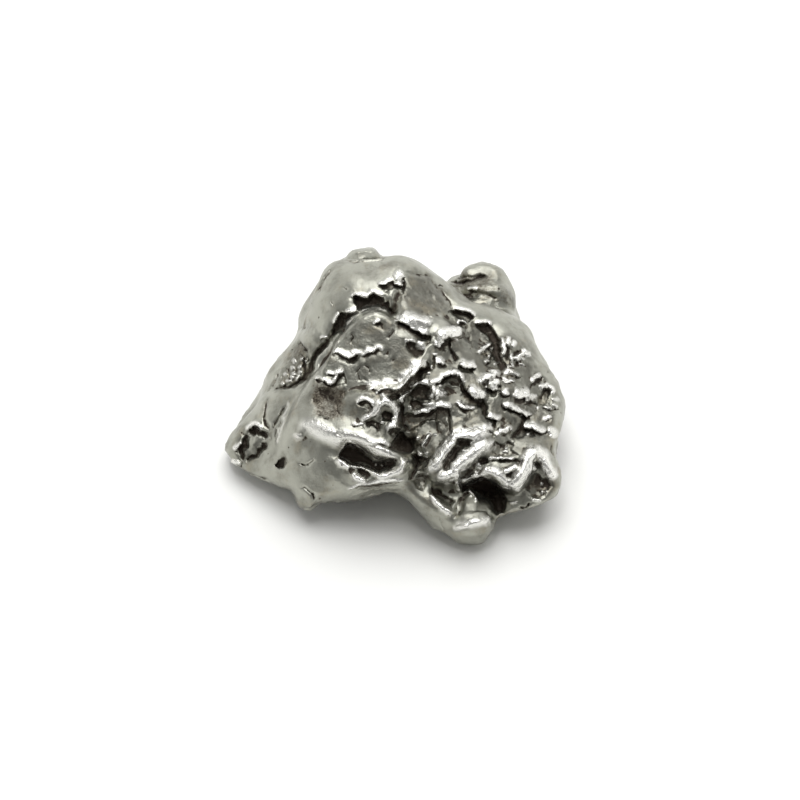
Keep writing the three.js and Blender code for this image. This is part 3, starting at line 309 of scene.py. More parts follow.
# Ridges stand up along a path and grooves are cut into it: height or depth, half width and path.
ridges = [
    (0.24, 0.85, [(-8.3, -1.9), (-7.2, -2.05), (-6.2, -2.55), (-5.2, -3.0), (-4.2, -3.15), (-3.0, -3.4),
                  (-2.3, -3.7), (-1.9, -4.1), (-1.3, -4.35), (-0.6, -4.6), (-0.1, -4.8)]),
    (0.46, 0.46, [(-5.05, -4.6), (-4.6, -5.0), (-4.1, -5.2), (-3.9, -5.5)]),
    (0.42, 0.36, [(-3.9, -5.2), (-3.2, -5.22), (-2.6, -5.45), (-2.1, -5.8), (-1.7, -6.0)]),
    (0.42, 0.44, [(-3.8, -5.7), (-3.5, -6.1), (-3.1, -6.35), (-2.65, -6.5)]),
    (0.42, 0.46, [(-2.0, -6.15), (-1.4, -6.0), (-0.9, -5.8), (-0.1, -5.6), (0.3, -5.2), (0.7, -4.6)]),
    (0.12, 0.14, [(-4.9, -4.4), (-4.4, -3.55), (-4.0, -3.35), (-3.4, -3.8), (-2.8, -4.3), (-2.3, -4.75)]),
    (0.42, 0.62, [(1.7, -5.6), (2.4, -5.3), (2.8, -5.1), (3.2, -4.7), (3.5, -4.2), (3.8, -3.8), (4.2, -3.4),
                  (4.4, -2.9), (5.0, -2.75), (5.8, -2.85), (6.2, -2.6), (6.7, -2.5), (7.1, -2.15), (7.45, -2.4)]),
    (0.42, 0.72, [(2.8, -6.1), (3.8, -6.1), (4.2, -5.8), (4.5, -5.3), (5.0, -5.0), (5.5, -4.6), (5.9, -4.3),
                  (6.2, -3.9), (6.7, -3.6), (7.1, -3.65), (7.5, -3.2)]),
    (0.30, 0.32, [(4.6, -5.4), (4.6, -6.2), (4.7, -6.8), (4.6, -7.4)]),
    (0.42, 0.56, [(4.8, -6.55), (5.3, -6.5), (5.8, -6.2), (6.3, -6.05), (6.8, -5.9), (7.4, -5.8), (7.8, -6.1),
                  (8.2, -6.5), (8.7, -6.8), (9.2, -6.8)]),
    (0.42, 0.74, [(8.7, -6.9), (9.2, -6.8), (9.5, -6.3), (9.8, -5.7), (10.1, -5.0), (10.5, -4.3), (11.0, -4.1)]),
    (0.40, 0.58, [(10.5, -4.3), (11.0, -4.1), (11.4, -4.4), (11.7, -5.0), (12.0, -5.6), (12.5, -6.4)]),
    (0.30, 0.30, [(9.15, -5.05), (9.2, -5.4), (8.8, -5.6), (8.2, -5.7)]),
    (0.28, 0.32, [(10.95, -5.65), (10.5, -5.3), (10.2, -5.9)]),
    (0.28, 0.18, [(7.0, -4.72), (7.5, -4.65), (8.0, -4.6), (9.1, -4.72)]),
    (0.15, 0.14, [(8.1, -4.05), (8.3, -4.05), (8.7, -4.15)]),
    (0.20, 0.16, [(10.55, -7.95), (10.95, -8.05), (11.3, -7.95)]),
    (0.15, 0.14, [(8.6, -8.2), (9.0, -8.22), (9.4, -8.15)]),
    (0.30, 0.34, [(2.4, -7.55), (2.9, -8.0), (3.3, -8.4), (3.8, -8.9), (4.2, -9.1)]),
    (0.25, 0.16, [(5.4, -7.1), (5.7, -7.3), (6.0, -7.6), (6.15, -8.1)]),
    (0.20, 0.30, [(4.1, -10.25), (4.8, -10.2), (5.5, -10.05)]),
    (0.28, 0.50, [(4.4, -10.1), (5.5, -9.95), (6.2, -9.8), (7.2, -9.65)]),
    (0.14, 0.30, [(-4.6, 5.5), (-4.2, 6.2), (-3.4, 6.9), (-2.9, 7.25), (-2.2, 7.4), (-1.6, 7.4), (-1.1, 7.2),
                  (-0.8, 6.85)]),
    (0.25, 0.60, [(-0.1, 6.6), (0.5, 6.65), (1.2, 6.5), (2.0, 6.3), (2.5, 5.9)]),
    (0.30, 0.60, [(2.9, 4.9), (3.5, 5.3), (4.3, 5.4), (4.9, 5.0)]),
    (0.30, 0.42, [(-0.35, 9.6), (-0.1, 10.0), (0.25, 10.25)]),
    (0.30, 0.34, [(2.6, 1.5), (2.6, 0.8), (3.0, 0.6), (3.7, 0.4)]),
    (0.28, 0.22, [(2.65, 0.8), (2.4, 0.2)]),
    (0.25, 0.18, [(2.95, 0.55), (2.95, 0.05)]),
    (0.25, 0.20, [(0.05, -0.25), (0.2, 0.2), (0.5, 0.5), (0.9, 0.78)]),
    (0.22, 0.16, [(1.7, -0.45), (2.2, -0.35), (2.9, -0.2)]),
    (0.30, 0.34, [(-2.2, 0.05), (-1.6, -0.3), (-1.2, 0.0), (-0.7, -0.3), (-0.25, -0.85), (-0.25, -1.35),
                  (-0.4, -1.9), (-0.8, -2.2), (-1.05, -2.6)]),
    (0.30, 0.32, [(-1.5, -0.4), (-2.0, -1.0), (-2.6, -1.4), (-3.1, -1.7)]),
    (0.28, 0.26, [(-0.45, -2.0), (-0.2, -2.1), (0.1, -2.25)]),
    (0.30, 0.60, [(5.4, 1.0), (5.9, 0.7), (6.4, 0.4), (6.9, 0.1)]),
    (0.30, 0.40, [(6.3, 1.4), (7.0, 1.9), (7.5, 2.1), (8.1, 2.0)]),
    (0.28, 0.34, [(7.0, 1.3), (7.4, 1.5), (7.95, 1.3)]),
    (0.20, 0.28, [(8.2, 2.15), (8.8, 2.3), (9.5, 2.0)]),
    (0.25, 0.26, [(10.5, 1.4), (10.8, 1.75), (11.3, 2.05)]),
    (0.30, 0.30, [(11.1, 1.05), (11.7, 1.15), (12.1, 0.95), (12.35, 0.5)]),
    (0.22, 0.28, [(9.9, -0.1), (10.4, 0.15), (11.0, 0.35)]),
    (0.20, 0.14, [(11.5, -0.6), (11.8, -0.65), (12.2, -0.78)]),
    (0.20, 0.14, [(12.15, 0.05), (12.75, 0.05)]),
    (0.20, 0.16, [(12.1, -0.3), (12.65, -0.5)]),
    (0.25, 0.40, [(11.8, -2.35), (12.3, -2.6), (12.2, -3.1)]),
    (0.30, 0.34, [(7.6, -2.95), (8.1, -2.5), (8.7, -2.3), (9.0, -2.15)]),
    (0.28, 0.24, [(6.2, 3.85), (6.8, 4.1), (7.25, 4.55)]),
    (0.22, 0.15, [(7.15, 4.05), (7.55, 4.22)]),
    (0.20, 0.16, [(6.75, 3.0), (7.15, 3.12)]),
    (0.20, 0.14, [(7.5, 2.85), (8.0, 3.05)]),
    (0.32, 0.24, [(8.1, 5.05), (8.3, 4.5), (8.35, 4.0), (8.15, 3.45)]),
    (0.28, 0.24, [(8.75, 5.15), (8.65, 4.4)]),
    (0.28, 0.24, [(9.25, 4.75), (9.0, 4.25)]),
    (0.30, 0.18, [(8.85, 3.75), (8.9, 3.2), (9.0, 2.8), (8.85, 2.55)]),
    (0.30, 0.22, [(8.95, 3.25), (9.4, 3.4), (9.7, 3.6), (10.0, 3.9), (10.1, 4.15)]),
    (0.18, 0.12, [(9.25, 3.1), (9.7, 3.28), (10.05, 3.42)]),
    (0.25, 0.26, [(10.0, 3.68), (10.5, 3.66)]),
    (0.20, 0.12, [(9.4, 2.92), (9.95, 2.74)]),
    (0.25, 0.24, [(2.45, -2.72), (2.0, -3.2), (1.7, -3.75)]),
    (0.15, 0.12, [(2.65, -2.78), (2.95, -2.76)]),
    (0.15, 0.14, [(1.85, -4.22), (2.15, -4.16)]),
    (0.15, 0.12, [(1.85, -4.45), (2.15, -4.6)]),
    (0.15, 0.14, [(1.5, -5.85), (2.25, -5.95)]),
    (0.15, 0.12, [(4.9, -4.1), (5.4, -4.0)]),
    (0.26, 0.28, [(-12.4, -2.35), (-11.8, -1.95), (-11.4, -2.0), (-11.05, -2.45)]),
    (0.25, 0.20, [(-13.35, -4.0), (-12.9, -3.5), (-12.55, -3.4)]),
    (0.25, 0.22, [(-13.55, -4.75), (-13.2, -4.9), (-12.75, -5.2)]),
    (0.12, 0.20, [(-8.9, 0.0), (-9.2, -1.2), (-9.5, -2.2), (-9.95, -3.6)]),
    (0.05, 0.20, [(-5.2, 4.8), (-5.7, 4.2), (-6.25, 3.5), (-6.6, 2.9), (-6.85, 2.1)]),
    (0.15, 0.14, [(-8.9, 1.4), (-8.6, 1.9)]),
    (0.15, 0.14, [(-8.35, 1.65), (-8.05, 2.0)]),
]
grooves = [
    (0.40, 0.28, [(0.1, 0.4), (0.7, 0.75), (0.9, 1.3), (1.45, 1.65), (1.6, 2.2), (2.2, 2.5), (2.4, 3.0)]),
    (0.45, 0.29, [(-5.2, 5.6), (-5.45, 5.1), (-5.95, 4.5), (-6.6, 3.8), (-6.95, 3.2), (-7.2, 2.4), (-7.7, 1.7),
                  (-8.6, 1.15), (-9.8, 0.9), (-10.2, 0.85)]),
    (0.30, 0.20, [(-0.55, 6.55), (0.0, 6.1), (0.6, 5.8), (1.2, 5.42), (1.75, 5.1)]),
    (0.18, 0.22, [(0.35, 10.3), (1.2, 10.1), (2.0, 10.0), (2.5, 9.85), (2.65, 9.5), (3.0, 9.0), (3.5, 8.5),
                  (3.75, 8.15), (4.0, 7.85), (4.1, 7.4), (4.4, 7.05)]),
    (0.25, 0.18, [(0.3, 9.85), (0.25, 9.2), (0.3, 8.4)]),
    (0.42, 0.50, [(-0.75, 6.9), (-0.4, 7.5), (-0.25, 8.2), (0.0, 8.8)]),
    (0.30, 0.16, [(3.95, 5.35), (3.95, 4.75), (4.0, 4.2), (4.2, 3.8), (4.45, 3.1)]),
    (0.35, 0.18, [(2.72, 3.55), (2.7, 3.2), (2.72, 2.9), (2.5, 2.5)]),
    (0.25, 0.18, [(5.55, 5.2), (5.7, 4.8), (5.8, 4.4), (5.6, 3.9)]),
    (0.30, 0.18, [(4.8, 1.35), (5.0, 0.9), (5.2, 0.5), (5.5, 0.18), (6.0, 0.0)]),
    (0.50, 0.26, [(0.1, -0.3), (0.15, -1.2), (0.3, -2.0), (0.65, -2.6)]),
    (0.30, 0.18, [(3.9, -0.85), (3.95, -1.6), (4.05, -2.4), (3.85, -2.9)]),
    (0.20, 0.14, [(2.9, -1.0), (2.95, -1.7), (2.95, -2.5)]),
    (0.12, 0.10, [(5.15, -0.85), (5.35, -1.2), (5.4, -1.6)]),
    (0.25, 0.18, [(8.45, 4.4), (8.7, 4.1), (8.6, 3.7), (8.5, 3.1)]),
    (0.30, 0.14, [(7.75, 1.05), (8.05, 1.05), (8.05, 0.6), (8.3, 0.28)]),
    (0.25, 0.14, [(9.25, 1.82), (9.75, 1.72)]),
    (0.20, 0.14, [(7.95, 1.75), (8.3, 1.58)]),
    (0.35, 0.22, [(10.4, 0.85), (10.5, 1.2), (10.9, 1.4), (11.2, 1.7), (11.45, 1.88)]),
    (0.25, 0.14, [(11.25, -0.7), (12.2, -0.88), (12.75, -0.7)]),
    (0.35, 0.18, [(7.95, -0.4), (8.4, -0.75), (9.2, -0.95), (9.5, -1.2), (9.9, -1.42), (10.5, -1.38)]),
    (0.40, 0.26, [(9.95, -1.45), (9.7, -2.0), (9.5, -2.4), (9.2, -2.8), (8.95, -3.2)]),
    (0.30, 0.15, [(7.0, -4.88), (8.0, -4.85), (9.1, -4.85), (9.5, -4.92)]),
    (0.30, 0.16, [(9.45, -8.62), (10.1, -8.6), (10.4, -8.15)]),
    (0.25, 0.14, [(10.05, -8.55), (10.15, -8.9)]),
    (0.20, 0.22, [(12.05, -3.6), (12.3, -4.6)]),
    (0.10, 0.55, [(-5.45, -4.9), (-5.15, -5.6), (-4.5, -6.2), (-3.9, -6.6), (-3.2, -6.9)]),
    (0.16, 0.22, [(-4.0, -7.55), (-3.2, -7.25), (-2.4, -7.1), (-1.8, -6.9), (-1.2, -6.95), (0.3, -6.8)]),
    (0.14, 0.18, [(-2.9, -7.5), (-2.0, -7.35), (-1.0, -7.3), (0.2, -7.2)]),
    (0.50, 0.30, [(1.1, -4.2), (1.4, -5.0), (1.1, -5.8), (0.9, -6.5)]),
    (0.15, 0.12, [(-5.05, -2.55), (-4.6, -2.85)]),
    (0.30, 0.24, [(-10.65, 0.1), (-10.8, -0.8), (-10.9, -1.4), (-10.7, -1.9), (-10.5, -2.5)]),
    (0.22, 0.18, [(-8.9, -0.2), (-9.5, -1.1), (-9.9, -1.7), (-10.15, -2.3)]),
    (0.10, 0.12, [(-9.3, -1.25), (-9.9, -2.6), (-10.05, -3.4)]),
    (0.48, 0.30, [(-12.15, -2.45), (-11.7, -2.6), (-11.5, -2.3), (-11.2, -2.65), (-10.8, -2.75), (-10.7, -3.1)]),
    (0.48, 0.30, [(-12.15, -2.8), (-12.4, -3.2), (-12.35, -3.6), (-12.8, -4.0), (-12.5, -4.5), (-12.6, -4.9)]),
    (0.40, 0.26, [(-12.3, -5.0), (-11.9, -4.6), (-11.4, -4.5), (-11.2, -4.0), (-10.85, -3.7), (-10.95, -3.3)]),
    (0.28, 0.20, [(-12.75, -5.1), (-12.7, -5.6), (-12.4, -5.85), (-11.7, -6.05), (-11.0, -6.3), (-10.4, -6.75)]),
    (0.22, 0.15, [(-8.0, -5.05), (-7.5, -5.27), (-7.2, -5.05), (-6.85, -4.75)]),
    (0.24, 0.16, [(-7.85, -6.9), (-7.4, -7.2), (-7.0, -7.5), (-6.85, -8.0)]),
    (0.15, 0.12, [(-3.85, 5.35), (-3.75, 5.0), (-3.95, 4.5)]),
    (0.15, 0.12, [(-0.95, 4.95), (-0.7, 5.2), (-0.45, 5.6)]),
    (0.13, 0.12, [(-3.1, 2.65), (-3.5, 2.2), (-3.3, 1.9), (-3.1, 1.55)]),
    (0.12, 0.12, [(-2.9, 2.75), (-2.5, 2.5), (-2.4, 2.15)]),
    (0.10, 0.10, [(-2.95, 1.75), (-2.6, 1.45)]),
    (0.12, 0.12, [(-6.4, 1.05), (-6.3, 0.5), (-6.0, 0.35), (-5.75, -0.15)]),
    (0.12, 0.10, [(-6.9, 0.3), (-6.65, 0.3), (-6.65, -0.15), (-6.95, -0.2), (-6.9, 0.3)]),
    (0.12, 0.10, [(-4.4, 0.95), (-4.4, 0.05), (-4.7, 0.1)]),
    (0.12, 0.10, [(-5.6, 0.45), (-5.6, 0.1), (-5.1, 0.1)]),
    (0.15, 0.14, [(-5.1, -0.15), (-4.95, -0.8), (-4.7, -1.3)]),
    (0.15, 0.14, [(-6.55, -1.2), (-6.1, -1.42), (-5.55, -1.62)]),
    (0.10, 0.12, [(-6.2, -0.45), (-6.25, -1.05)]),
    (0.26, 0.75, [(-8.6, 5.9), (-7.4, 5.9), (-6.2, 5.7)]),
    (0.07, 0.10, [(-3.4, 10.7), (-3.05, 10.3), (-3.0, 9.9)]),
    (0.07, 0.10, [(-2.45, 10.95), (-2.2, 10.65), (-1.8, 10.5)]),
    (0.08, 0.11, [(-1.9, 11.25), (-1.7, 11.0), (-1.3, 10.9)]),
    (0.12, 0.11, [(-4.6, 9.0), (-4.2, 8.8)]),
    (0.12, 0.11, [(-5.6, 7.9), (-5.3, 7.5)]),
    (0.26, 0.20, [(-6.65, 8.5), (-6.4, 9.1), (-6.2, 9.6), (-5.95, 10.05), (-5.6, 10.35), (-5.3, 10.55)]),
    (0.26, 0.17, [(-8.25, 4.35), (-8.0, 4.62), (-7.6, 4.25), (-7.45, 4.0), (-7.75, 3.88)]),
    (0.34, 0.18, [(-7.95, 3.62), (-7.7, 3.3), (-7.7, 2.8), (-7.6, 2.3), (-7.7, 1.85)]),
    (0.20, 0.14, [(-7.4, 3.5), (-7.25, 3.2), (-7.4, 2.9)]),
    (0.22, 0.15, [(-9.1, 2.5), (-8.8, 2.25), (-8.9, 1.75), (-8.6, 1.4)]),
    (0.20, 0.14, [(-8.6, 2.95), (-8.3, 2.5), (-8.35, 2.0)]),
    (0.25, 0.15, [(-9.75, 2.5), (-9.95, 1.7), (-10.2, 1.2), (-10.7, 0.6)]),
    (0.35, 0.22, [(4.0, 9.68), (5.0, 9.5), (5.8, 9.7), (7.0, 9.95)]),
    (0.25, 0.14, [(4.7, 9.85), (6.2, 10.0), (7.1, 10.05)]),
    (0.15, 0.12, [(4.1, 9.15), (5.1, 9.08)]),
    (0.10, 0.35, [(4.2, -10.5), (5.5, -10.6), (6.6, -10.5), (7.1, -10.3)]),
    (0.12, 0.16, [(-3.9, 11.75), (-3.3, 11.85), (-2.4, 11.9), (-1.8, 11.82)]),
    (0.26, 0.22, [(-4.4, 11.3), (-3.8, 11.15), (-2.8, 11.2), (-1.9, 11.3), (-1.1, 11.45)]),
    (0.10, 0.12, [(3.05, -9.2), (3.4, -10.2), (3.55, -11.1)]),
    (0.20, 0.14, [(3.0, 9.15), (3.5, 9.12)]),
]

# Small bumps: place, radius and height.
bumps = [
    (-8.2, -2.95, 0.45, 0.20), (1.65, 4.45, 0.55, 0.35), (6.35, -5.3, 0.40, 0.30), (0.8, -0.65, 0.16, 0.20),
    (2.3, 0.25, 0.20, 0.22), (-1.85, 0.6, 0.22, 0.15), (-1.4, 0.4, 0.22, 0.15), (-1.4, -1.8, 0.20, 0.30),
    (-0.55, -1.45, 0.16, 0.25), (7.1, 3.5, 0.20, 0.25), (8.65, 2.65, 0.22, 0.22), (9.75, -1.3, 0.16, 0.20),
    (11.0, -0.6, 0.18, 0.20), (5.65, -3.4, 0.16, 0.20), (1.4, -3.05, 0.18, 0.20), (11.3, -7.4, 0.20, 0.25),
    (11.7, -7.35, 0.16, 0.22), (11.3, -6.7, 0.18, 0.22), (8.5, -3.85, 0.16, 0.20), (3.2, 1.1, 0.16, 0.20),
    (2.4, 2.65, 0.16, 0.20), (2.2, 2.2, 0.16, 0.18), (-8.5, 3.15, 0.22, 0.16), (-8.05, 2.65, 0.20, 0.22),
    (-8.0, 2.25, 0.20, 0.20), (-9.2, 2.05, 0.20, 0.20), (7.2, -4.8, 0.22, 0.25), (-7.85, 3.25, 0.18, 0.18),
    (-8.62, 2.6, 0.20, 0.20), (-9.0, 1.55, 0.20, 0.20), (-8.5, 2.1, 0.18, 0.20), (-8.75, 1.85, 0.16, 0.18),
    (-8.3, 1.6, 0.20, 0.20), (-9.4, 1.35, 0.18, 0.16), (-7.6, 3.0, 0.16, 0.16), (4.55, -6.7, 0.24, 0.20),
    (5.7, -7.6, 0.14, 0.18), (-1.9, -5.2, 0.16, 0.30), (-1.45, -5.2, 0.14, 0.28), (3.8, -6.9, 0.40, 0.15),
    (7.2, -2.7, 0.18, 0.20), (10.2, -2.6, 0.20, 0.20),
]

# Broad faces that the strokes are cut into: how flat they are, how much of its own lean each one keeps (with
# none it is square to the face's axis), the width of the edge, and the loop.
flats = [
    (0.92, 0.30, 0.6, [(-6.4, 2.4), (-5.6, 4.1), (-4.6, 5.2), (-3.6, 6.25), (-2.8, 6.85), (-1.9, 7.1), (-1.1, 6.75),
                       (-0.3, 6.1), (1.0, 5.4), (2.2, 4.6), (1.9, 3.0), (0.9, 2.0), (0.1, 1.2), (-1.0, 1.0),
                       (-3.0, 0.8), (-4.6, 0.4), (-6.4, 1.0)]),
    (0.85, 0.75, 0.8, [(0.5, 10.0), (2.3, 9.7), (3.4, 8.3), (4.1, 7.2), (3.0, 6.6), (0.4, 6.9), (0.3, 8.5)]),
    (0.80, 0.5, 0.6, [(4.2, -0.4), (6.2, -0.8), (6.9, -2.0), (5.8, -2.6), (4.2, -2.6)]),
    (0.70, 0.6, 0.6, [(7.1, -0.3), (9.6, -1.3), (9.4, -2.2), (8.0, -2.1), (7.2, -1.2)]),
    (0.70, 0.6, 0.6, [(10.5, -1.0), (12.6, -1.0), (12.2, -2.1), (10.2, -2.0)]),
]

# Swells and wide hollows of the metal under the strokes: place, radius, and height.
swells = [
    (4.3, 0.6, 1.4, -0.35), (2.4, -1.9, 1.8, -0.35), (6.2, 0.7, 1.1, 0.40), (9.0, 0.8, 1.4, 0.30),
    (7.4, 1.7, 1.1, 0.30), (8.0, 3.4, 1.1, -0.25), (3.6, 5.2, 1.2, 0.30), (1.1, 6.5, 1.3, 0.25),
    (1.5, 4.2, 1.1, -0.25), (5.4, 4.4, 1.2, -0.25), (5.1, 2.9, 1.0, 0.25), (6.0, -8.7, 1.9, 0.62),
    (10.6, -4.3, 1.0, 0.20), (8.8, 4.4, 1.2, 0.25), (10.6, 0.9, 1.0, 0.25), (10.9, -2.1, 1.1, 0.25),
    (8.4, -2.4, 1.0, 0.25), (7.5, -1.2, 1.0, 0.20), (-6.9, -3.0, 1.1, -0.09), (-11.75, -3.35, 0.9, 0.25),
    (-8.1, -2.7, 0.8, 0.25), (-5.6, -0.3, 1.7, -0.20), (-5.0, 8.6, 1.3, -0.16), (-3.9, 9.8, 1.3, 0.16),
    (-2.5, 10.3, 1.0, -0.12), (-6.4, 7.9, 1.0, 0.12), (-7.1, 4.95, 0.9, 0.18), (-0.6, 11.0, 1.2, 0.12),
    (-8.6, -4.2, 1.4, -0.12), (-6.8, -5.4, 1.3, 0.10), (-5.4, -7.0, 1.3, -0.10), (10.2, 5.6, 1.4, 0.12),
    (11.3, 3.2, 1.2, -0.10), (2.4, 2.4, 1.1, 0.20), (4.0, 3.4, 1.0, -0.15), (11.8, -5.2, 1.2, 0.20),
]

# Places drawn out sideways on the face: place, radius, and how far right and up.
pulls = [(-8.0, -8.15, 0.65, -0.12, -0.34), (-7.35, -8.15, 0.65, 0.08, -0.40), (-6.4, -8.0, 0.6, 0.0, 0.15),
         (-8.9, -7.4, 0.9, 0.08, 0.18)]

# Knobs that are worn round: place and radius.
rounds = [(5.8, -10.4, 2.4)]


def nearPath(u, v, path):
    # distance to a chain of points, how far along it that is (0 to 1), and the side, positive on the right hand
    lengths = [math.dist(a, b) for a, b in zip(path, path[1:])]
    gap = np.full(u.shape, 1e9)
    along = np.zeros(u.shape)
    side = np.zeros(u.shape)
    passed = 0.0
    for (au, av), (bu, bv), length in zip(path, path[1:], lengths):
        du, dv = bu - au, bv - av
        t = np.clip(((u - au) * du + (v - av) * dv) / length ** 2, 0.0, 1.0)
        here = np.hypot(u - au - t * du, v - av - t * dv)
        closer = here < gap
        gap = np.where(closer, here, gap)
        along = np.where(closer, (passed + t * length) / sum(lengths), along)
        side = np.where(closer, np.sign((u - au) * dv - (v - av) * du), side)
        passed += length
    return gap, along, side


def insideLoop(u, v, loop):
    inside = np.zeros(u.shape, bool)
    for (au, av), (bu, bv) in zip(loop, loop[1:] + loop[:1]):
        if av != bv:
            inside ^= ((av > v) != (bv > v)) & (u < (bu - au) * (v - av) / (bv - av) + au)
    return inside


def loopShare(u, v, loop, wall):
    # 0 outside a loop, 1 inside it, over a wall of the given width
    gap = nearPath(u, v, loop + loop[:1])[0]
    return step(-wall / 2, wall / 2, np.where(insideLoop(u, v, loop), gap, -gap))


def taper(along):
    return np.sqrt(np.clip(np.minimum(along, 1 - along) * 5, 0.0, 1.0))


def around(u, v, path, reach):
    # which places a stroke can touch
    us, vs = zip(*path)
    inU = (u > min(us) - reach) & (u < max(us) + reach)
    return np.nonzero(inU & (v > min(vs) - reach) & (v < max(vs) + reach))[0]


def strokesAt(u, v):
    # how far each place is raised, how much oxide and painted shade it gets, how much it is rubbed bright and
    # painted with a highlight, and how crumpled it is
    rise, heldOxideAndShade, rubbedAndHighlit, ruffle = (np.zeros(u.shape) for _ in range(4))
    for depth, wall, loop in pits:
        at = around(u, v, loop, 2 * wall)
        hole = loopShare(u[at], v[at], loop, wall)
        # a shallow pit is deepest under its upper lip, and its floor comes up towards the lower one; its darker
        # colour under the upper lip is painted shade over the oxide
        tops = [spot[1] for spot in loop]
        up = np.clip((v[at] - min(tops)) / (max(tops) - min(tops)), 0, 1)
        even = float(step(0.45, 0.75, depth))
        bowl = 0.65 * hole + 0.35 * loopShare(u[at], v[at], loop, 4 * wall)
        rise[at] -= depth * bowl * (even + (1 - even) * (0.55 + 0.45 * up))
        heldOxideAndShade[at] = np.maximum(heldOxideAndShade[at], hole * min(1.0, depth / 0.4) * (even + (1 - even) * (0.15 + 0.85 * up)))
    for depth, width, path in grooves:
        at = around(u, v, path, width)
        gap, along = nearPath(u[at], v[at], path)[:2]
        cut = taper(along) * step(0.0, 1.0, 1 - gap / width)
        rise[at] -= depth * cut
        narrow = float(step(0.2, 0.9, depth / width))
        heldOxideAndShade[at] = np.maximum(heldOxideAndShade[at], cut * narrow * min(1.0, depth / 0.3))
    for drop, run, path in lips:
        at = around(u, v, path, run)
        gap, along, side = nearPath(u[at], v[at], path)
        close = taper(along) * np.clip(1 - gap / run, 0, 1)
        under = side > 0
        rise[at] += drop * np.where(under, -close ** 1.5 * step(0.0, 0.12, gap), 0.55 * step(0.0, 1.1, close))
        # under the lip the colour darkens: painted shade
        heldOxideAndShade[at] = np.maximum(heldOxideAndShade[at], np.where(under, step(0.25, 0.7, close) * step(0.02, 0.1, gap), 0.0))
        # above the lip the metal gets the pale colour: a painted highlight, partly rubbed metal
        rubbedAndHighlit[at] = np.maximum(rubbedAndHighlit[at], np.where(under, 0.0, step(0.0, 0.6, close)))
        ruffle[at] = np.maximum(ruffle[at], np.where(under, 0.0, step(0.0, 0.6, close)))
    for height, width, path in ridges:
        width *= lump["ridgeWidth"]
        at = around(u, v, path, width)
        gap, along = nearPath(u[at], v[at], path)[:2]
        close = taper(along) * np.clip(1 - gap / width, 0, 1)
        rise[at] += height * step(0.0, 1.0, close)
        # the crest gets the pale colour: a painted highlight, partly rubbed metal
        rubbed = min(1.0, height / 0.3) * step(0.1, 0.7, close)
        rubbedAndHighlit[at] = np.maximum(rubbedAndHighlit[at], rubbed)
        ruffle[at] = np.maximum(ruffle[at], rubbed * float(step(0.75, 0.4, width)))
    for bu, bv, radius, height in bumps:
        at = around(u, v, [(bu, bv)], radius)
        close = np.clip(1 - ((u[at] - bu) ** 2 + (v[at] - bv) ** 2) / radius ** 2, 0, 1)
        rise[at] += height * close ** 1.5
        # bump tops get the same painted highlight
        rubbedAndHighlit[at] = np.maximum(rubbedAndHighlit[at], 0.6 * close)
    return rise, 0.88 * heldOxideAndShade * (1 - 0.8 * rubbedAndHighlit), rubbedAndHighlit, ruffle


def readMesh(mesh):
    points = np.empty(len(mesh.vertices) * 3)
    mesh.vertices.foreach_get("co", points)
    normals = np.empty(len(mesh.vertices) * 3)
    mesh.vertex_normals.foreach_get("vector", normals)
    return points.reshape(-1, 3) / mm, normals.reshape(-1, 3)


def writeMesh(mesh, points):
    mesh.vertices.foreach_set("co", (points * mm).ravel())
    mesh.update()


def blurred(values, pairs, passes):
    # each vertex's value drawn towards the mean of its neighbours
    count = len(values)
    ends = np.concatenate([pairs[:, 0], pairs[:, 1]])
    others = np.concatenate([pairs[:, 1], pairs[:, 0]])
    share = 1.0 / np.maximum(np.bincount(ends, minlength=count), 1)
    columns = values.reshape(count, -1).copy()
    for _ in range(passes):
        for k in range(columns.shape[1]):
            mean = np.bincount(ends, weights=columns[others, k], minlength=count) * share
            columns[:, k] += 0.7 * (mean - columns[:, k])
    return columns.reshape(values.shape)


def makeLump():
    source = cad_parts["meteorite"]
    bm = bmesh.new()
    bm.from_mesh(source.data)
    bmesh.ops.remove_doubles(bm, verts=bm.verts, dist=lump["weld"] * mm)
    for times in lump["smoothings"]:
        # halve every edge that is too long for where it lies, then let the new corners settle
        bm.normal_update()
        ends = np.array([[v.co[:] for v in e.verts] for e in bm.edges]) / mm
        facing = np.array([(e.verts[0].normal + e.verts[1].normal)[:] for e in bm.edges]) @ faceAxis / 2
        middle = toFace(ends.mean(axis=1))
        busy = np.abs(strokesAt(middle[:, 0], middle[:, 1])[0]) > 0.01
        fine, plain, hidden = lump["edges"]
        longest = np.where(facing < -0.1, hidden, np.where(busy & (facing > 0.1), fine, plain))
        chosen = np.linalg.norm(ends[:, 0] - ends[:, 1], axis=1) > longest
        edges = [e for e, wanted in zip(bm.edges, chosen) if wanted]
        bmesh.ops.subdivide_edges(bm, edges=edges, cuts=1, use_grid_fill=True)
        bmesh.ops.triangulate(bm, faces=[f for f in bm.faces if len(f.verts) > 3])
        free = [v for v in bm.verts if v.co.z > lump["floor"] * mm]
        for _ in range(times):
            bmesh.ops.smooth_vert(bm, verts=free, factor=0.5, use_axis_x=True, use_axis_y=True, use_axis_z=True)
    bm.normal_update()
    mesh = bpy.data.meshes.new("meteorite_skin")
    bm.to_mesh(mesh)
    bm.free()
    mesh.update()
    print("skin:", len(mesh.vertices), "vertices,", len(mesh.polygons), "faces")
    return mesh


def relax(mesh, facing):
    # corners that strokes have folded back on themselves are drawn out again, and thorns on the other sides
    bm = bmesh.new()
    bm.from_mesh(mesh)
    limits = np.where(facing > 0.1, lump["foldedEdge"], lump["thornEdge"]).tolist()
    for _ in range(lump["relaxings"]):
        bm.normal_update()
        folded = [e for e in bm.edges if e.calc_face_angle(0.0) > limits[e.verts[0].index]]
        corners = list({v for e in folded for v in e.verts if v.co.z > lump["floor"] * mm})
        bmesh.ops.smooth_vert(bm, verts=corners, factor=0.6, use_axis_x=True, use_axis_y=True, use_axis_z=True)
    print("folded edges left:", len(folded))
    bm.to_mesh(mesh)
    bm.free()
    mesh.update()


